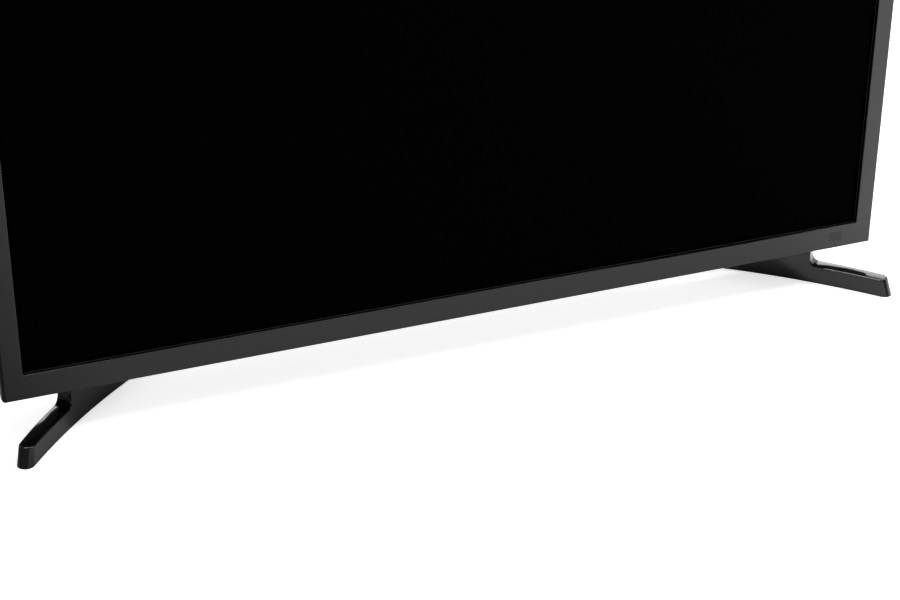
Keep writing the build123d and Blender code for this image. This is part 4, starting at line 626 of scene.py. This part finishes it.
class TV_OT_stage(Operator):
    """A white sweep, soft studio lamps and the photograph's camera."""

    bl_idname = "television.stage"
    bl_label = "Stage"

    def execute(self, context):
        self.floor()
        self.world()
        self.lamps()
        self.camera()
        context.scene.view_settings.view_transform = "Standard"
        return {"FINISHED"}

    def floor(self):
        """A pale floor that looks white to the camera and still takes the shadow."""
        shape = bmesh.new()
        bmesh.ops.create_grid(shape, x_segments=1, y_segments=1, size=20.0)
        mesh = bpy.data.meshes.new("floor")
        shape.to_mesh(mesh)
        shape.free()
        floor = bpy.data.objects.new("floor", mesh)
        bpy.context.scene.collection.objects.link(floor)
        material = bpy.data.materials.new("white paper")
        material.use_nodes = True
        tree = material.node_tree
        tree.nodes.clear()
        rays = add_node(tree, "ShaderNodeLightPath")
        place = add_node(tree, "ShaderNodeTexCoord")
        axes = add_node(tree, "ShaderNodeSeparateXYZ", links={"Vector": place.outputs["Object"]})
        # Only reflections see this: a painted reflection shade, a floor that is darker towards the left
        # so that polished parts show light falling off towards the left. Its levels were fitted to the
        # tones along the frame in the photograph.
        run = add_node(tree, "ShaderNodeMapRange", inputs={"From Min": -0.45, "From Max": 0.45},
                       links={"Value": axes.outputs["X"]})
        painted_reflection_shade = add_node(tree, "ShaderNodeValToRGB", links={"Fac": run.outputs["Result"]})
        for place_share, tone_share in ((0.056, 0.12), (0.11, 0.39), (0.20, 0.66), (0.48, 0.73),
                                        (0.88, 0.76)):
            stop = painted_reflection_shade.color_ramp.elements.new(place_share)
            stop.color = (tone_share, tone_share, tone_share, 1.0)
        painted_reflection_shade.color_ramp.elements[0].color = (0.1, 0.1, 0.1, 1.0)
        level = add_node(tree, "ShaderNodeMapRange", inputs={"To Max": 1.86},
                         links={"Value": painted_reflection_shade.outputs["Color"]})
        # Glossy rays see the paper scaled by the painted reflection shade; every other ray sees it
        # plain.
        tone = add_node(tree, "ShaderNodeMix", {"data_type": "FLOAT", "clamp_factor": True},
                        {"A": 1.0},
                        {"Factor": rays.outputs["Is Glossy Ray"], "B": level.outputs["Result"]})
        colour = add_node(tree, "ShaderNodeVectorMath", {"operation": "SCALE"},
                          {0: srgb("ededed")[:3]}, {"Scale": tone.outputs["Result"]})
        paper = add_node(tree, "ShaderNodeBsdfDiffuse", links={"Color": colour.outputs["Vector"]})
        glow = add_node(tree, "ShaderNodeEmission", inputs={"Color": srgb("ffffff")})
        seen = add_node(tree, "ShaderNodeMath", {"operation": "MAXIMUM"},
                        links={0: rays.outputs["Is Camera Ray"], 1: rays.outputs["Is Transmission Ray"]})
        strength = add_node(tree, "ShaderNodeMath", {"operation": "MULTIPLY"}, {1: 0.66},
                            {0: seen.outputs["Value"]})
        tree.links.new(strength.outputs["Value"], glow.inputs["Strength"])
        both = add_node(tree, "ShaderNodeAddShader",
                        links={0: paper.outputs["BSDF"], 1: glow.outputs["Emission"]})
        add_node(tree, "ShaderNodeOutputMaterial", links={"Surface": both.outputs["Shader"]})
        mesh.materials.append(material)

    def world(self):
        """A room that is white to the camera, and dark with one bright wall to polished parts."""
        world = bpy.data.worlds.new("white room")
        bpy.context.scene.world = world
        world.use_nodes = True
        tree = world.node_tree
        tree.nodes.clear()
        rays = add_node(tree, "ShaderNodeLightPath")
        place = add_node(tree, "ShaderNodeTexCoord")
        # The bright wall is behind the set on its right.
        facing = add_node(tree, "ShaderNodeVectorMath", {"operation": "DOT_PRODUCT"},
                          {1: (0.6, 0.8, 0.0)}, {0: place.outputs["Generated"]})
        level = add_node(tree, "ShaderNodeMapRange",
                         inputs={"From Min": 0.0, "From Max": 0.8, "To Min": 0.2, "To Max": 1.2},
                         links={"Value": facing.outputs["Value"]})
        seen = add_node(tree, "ShaderNodeMath", {"operation": "MAXIMUM"},
                        links={0: rays.outputs["Is Camera Ray"], 1: rays.outputs["Is Transmission Ray"]})
        plain = add_node(tree, "ShaderNodeMapRange", inputs={"To Min": 0.35, "To Max": 1.0},
                         links={"Value": seen.outputs["Value"]})
        strength = add_node(tree, "ShaderNodeMix", {"data_type": "FLOAT", "clamp_factor": True}, {},
                            {"Factor": rays.outputs["Is Glossy Ray"], "A": plain.outputs["Result"],
                             "B": level.outputs["Result"]})
        back = add_node(tree, "ShaderNodeBackground", inputs={"Color": (1.0, 1.0, 1.0, 1.0)},
                        links={"Strength": strength.outputs["Result"]})
        add_node(tree, "ShaderNodeOutputWorld", links={"Surface": back.outputs["Background"]})

    def lamps(self):
        """An overhead soft box, two side panels, a back panel and a lamp for the feet's edges."""
        for name, place, size, power in (
                ("overhead soft box", (0.70, -0.10, 2.50), (1.2, 1.2), 31.0),
                ("left panel", (-2.40, -1.80, 1.60), (1.2, 1.2), 10.0),
                ("right panel", (1.95, -0.55, 2.05), (0.7, 0.7), 25.0),
                ("edge lamp", (-0.40, -0.25, 2.50), (0.8, 0.8), 44.0),
                ("back panel", (1.05, 2.40, 1.33), (2.4, 1.2), 23.0)):
            data = bpy.data.lights.new(name, "AREA")
            data.shape = "RECTANGLE"
            data.size, data.size_y = size
            data.energy = power
            lamp = bpy.data.objects.new(name, data)
            bpy.context.scene.collection.objects.link(lamp)
            lamp.location = place
            turn = (Vector((0.0, 0.0, 0.2)) - Vector(place)).to_track_quat("-Z", "Y")
            lamp.rotation_euler = turn.to_euler()
            # The edge lamp only draws the thin bright lines along polished edges.
            lamp.visible_diffuse = name != "edge lamp"

    def camera(self):
        """The photograph's camera, from its fitted place, turn and focal length."""
        yaw, pitch, roll = (math.radians(a) for a in CAMERA_TURN)
        ahead = Vector((math.sin(yaw) * math.cos(pitch), math.cos(yaw) * math.cos(pitch),
                        -math.sin(pitch)))
        right = Vector((math.cos(yaw), -math.sin(yaw), 0.0))
        up = right.cross(ahead)
        side = right * math.cos(roll) + up * math.sin(roll)
        top = up * math.cos(roll) - right * math.sin(roll)
        data = bpy.data.cameras.new("photo camera")
        data.sensor_width = SENSOR_WIDTH
        data.lens = SENSOR_WIDTH * FOCAL_PIXELS / PHOTO_PIXELS
        data.clip_start = 0.05
        data.clip_end = 100.0
        camera = bpy.data.objects.new("photo camera", data)
        bpy.context.scene.collection.objects.link(camera)
        turn = Matrix((side, top, -ahead)).transposed().to_4x4()
        camera.matrix_world = Matrix.Translation(CAMERA_PLACE) @ turn
        bpy.context.scene.camera = camera


STEPS = (TV_OT_bezel, TV_OT_screen, TV_OT_rear_cover, TV_OT_feet, TV_OT_sockets,
         TV_OT_aerial_thread, TV_OT_cover_screws, TV_OT_insides, TV_OT_stage)


class TV_PT_sidebar(Panel):
    """Lists the television's values and its operators."""

    bl_idname = "TV_PT_sidebar"
    bl_label = "Television"
    bl_space_type = "VIEW_3D"
    bl_region_type = "UI"
    bl_category = "Television"

    def draw(self, context):
        layout = self.layout
        for group in (context.scene.television_look, context.scene.television_detail):
            for key in group.bl_rna.properties.keys():
                if key not in {"rna_type", "name"}:
                    layout.prop(group, key)
        for step in STEPS:
            layout.operator(step.bl_idname)


CLASSES = (TelevisionLook, TelevisionDetail, *STEPS, TV_PT_sidebar)


def register():
    """Add the classes and the scene's values."""
    for item in CLASSES:
        bpy.utils.register_class(item)
    bpy.types.Scene.television_look = PointerProperty(type=TelevisionLook)
    bpy.types.Scene.television_detail = PointerProperty(type=TelevisionDetail)


def unregister():
    """Remove them again."""
    del bpy.types.Scene.television_detail
    del bpy.types.Scene.television_look
    for item in reversed(CLASSES):
        bpy.utils.unregister_class(item)


def main():
    """Run every step in order."""
    register()
    for step in STEPS:
        group, name = step.bl_idname.split(".")
        if getattr(getattr(bpy.ops, group), name)() != {"FINISHED"}:
            raise RuntimeError(step.bl_label + " did not finish")


if __name__ == "__main__":
    main()
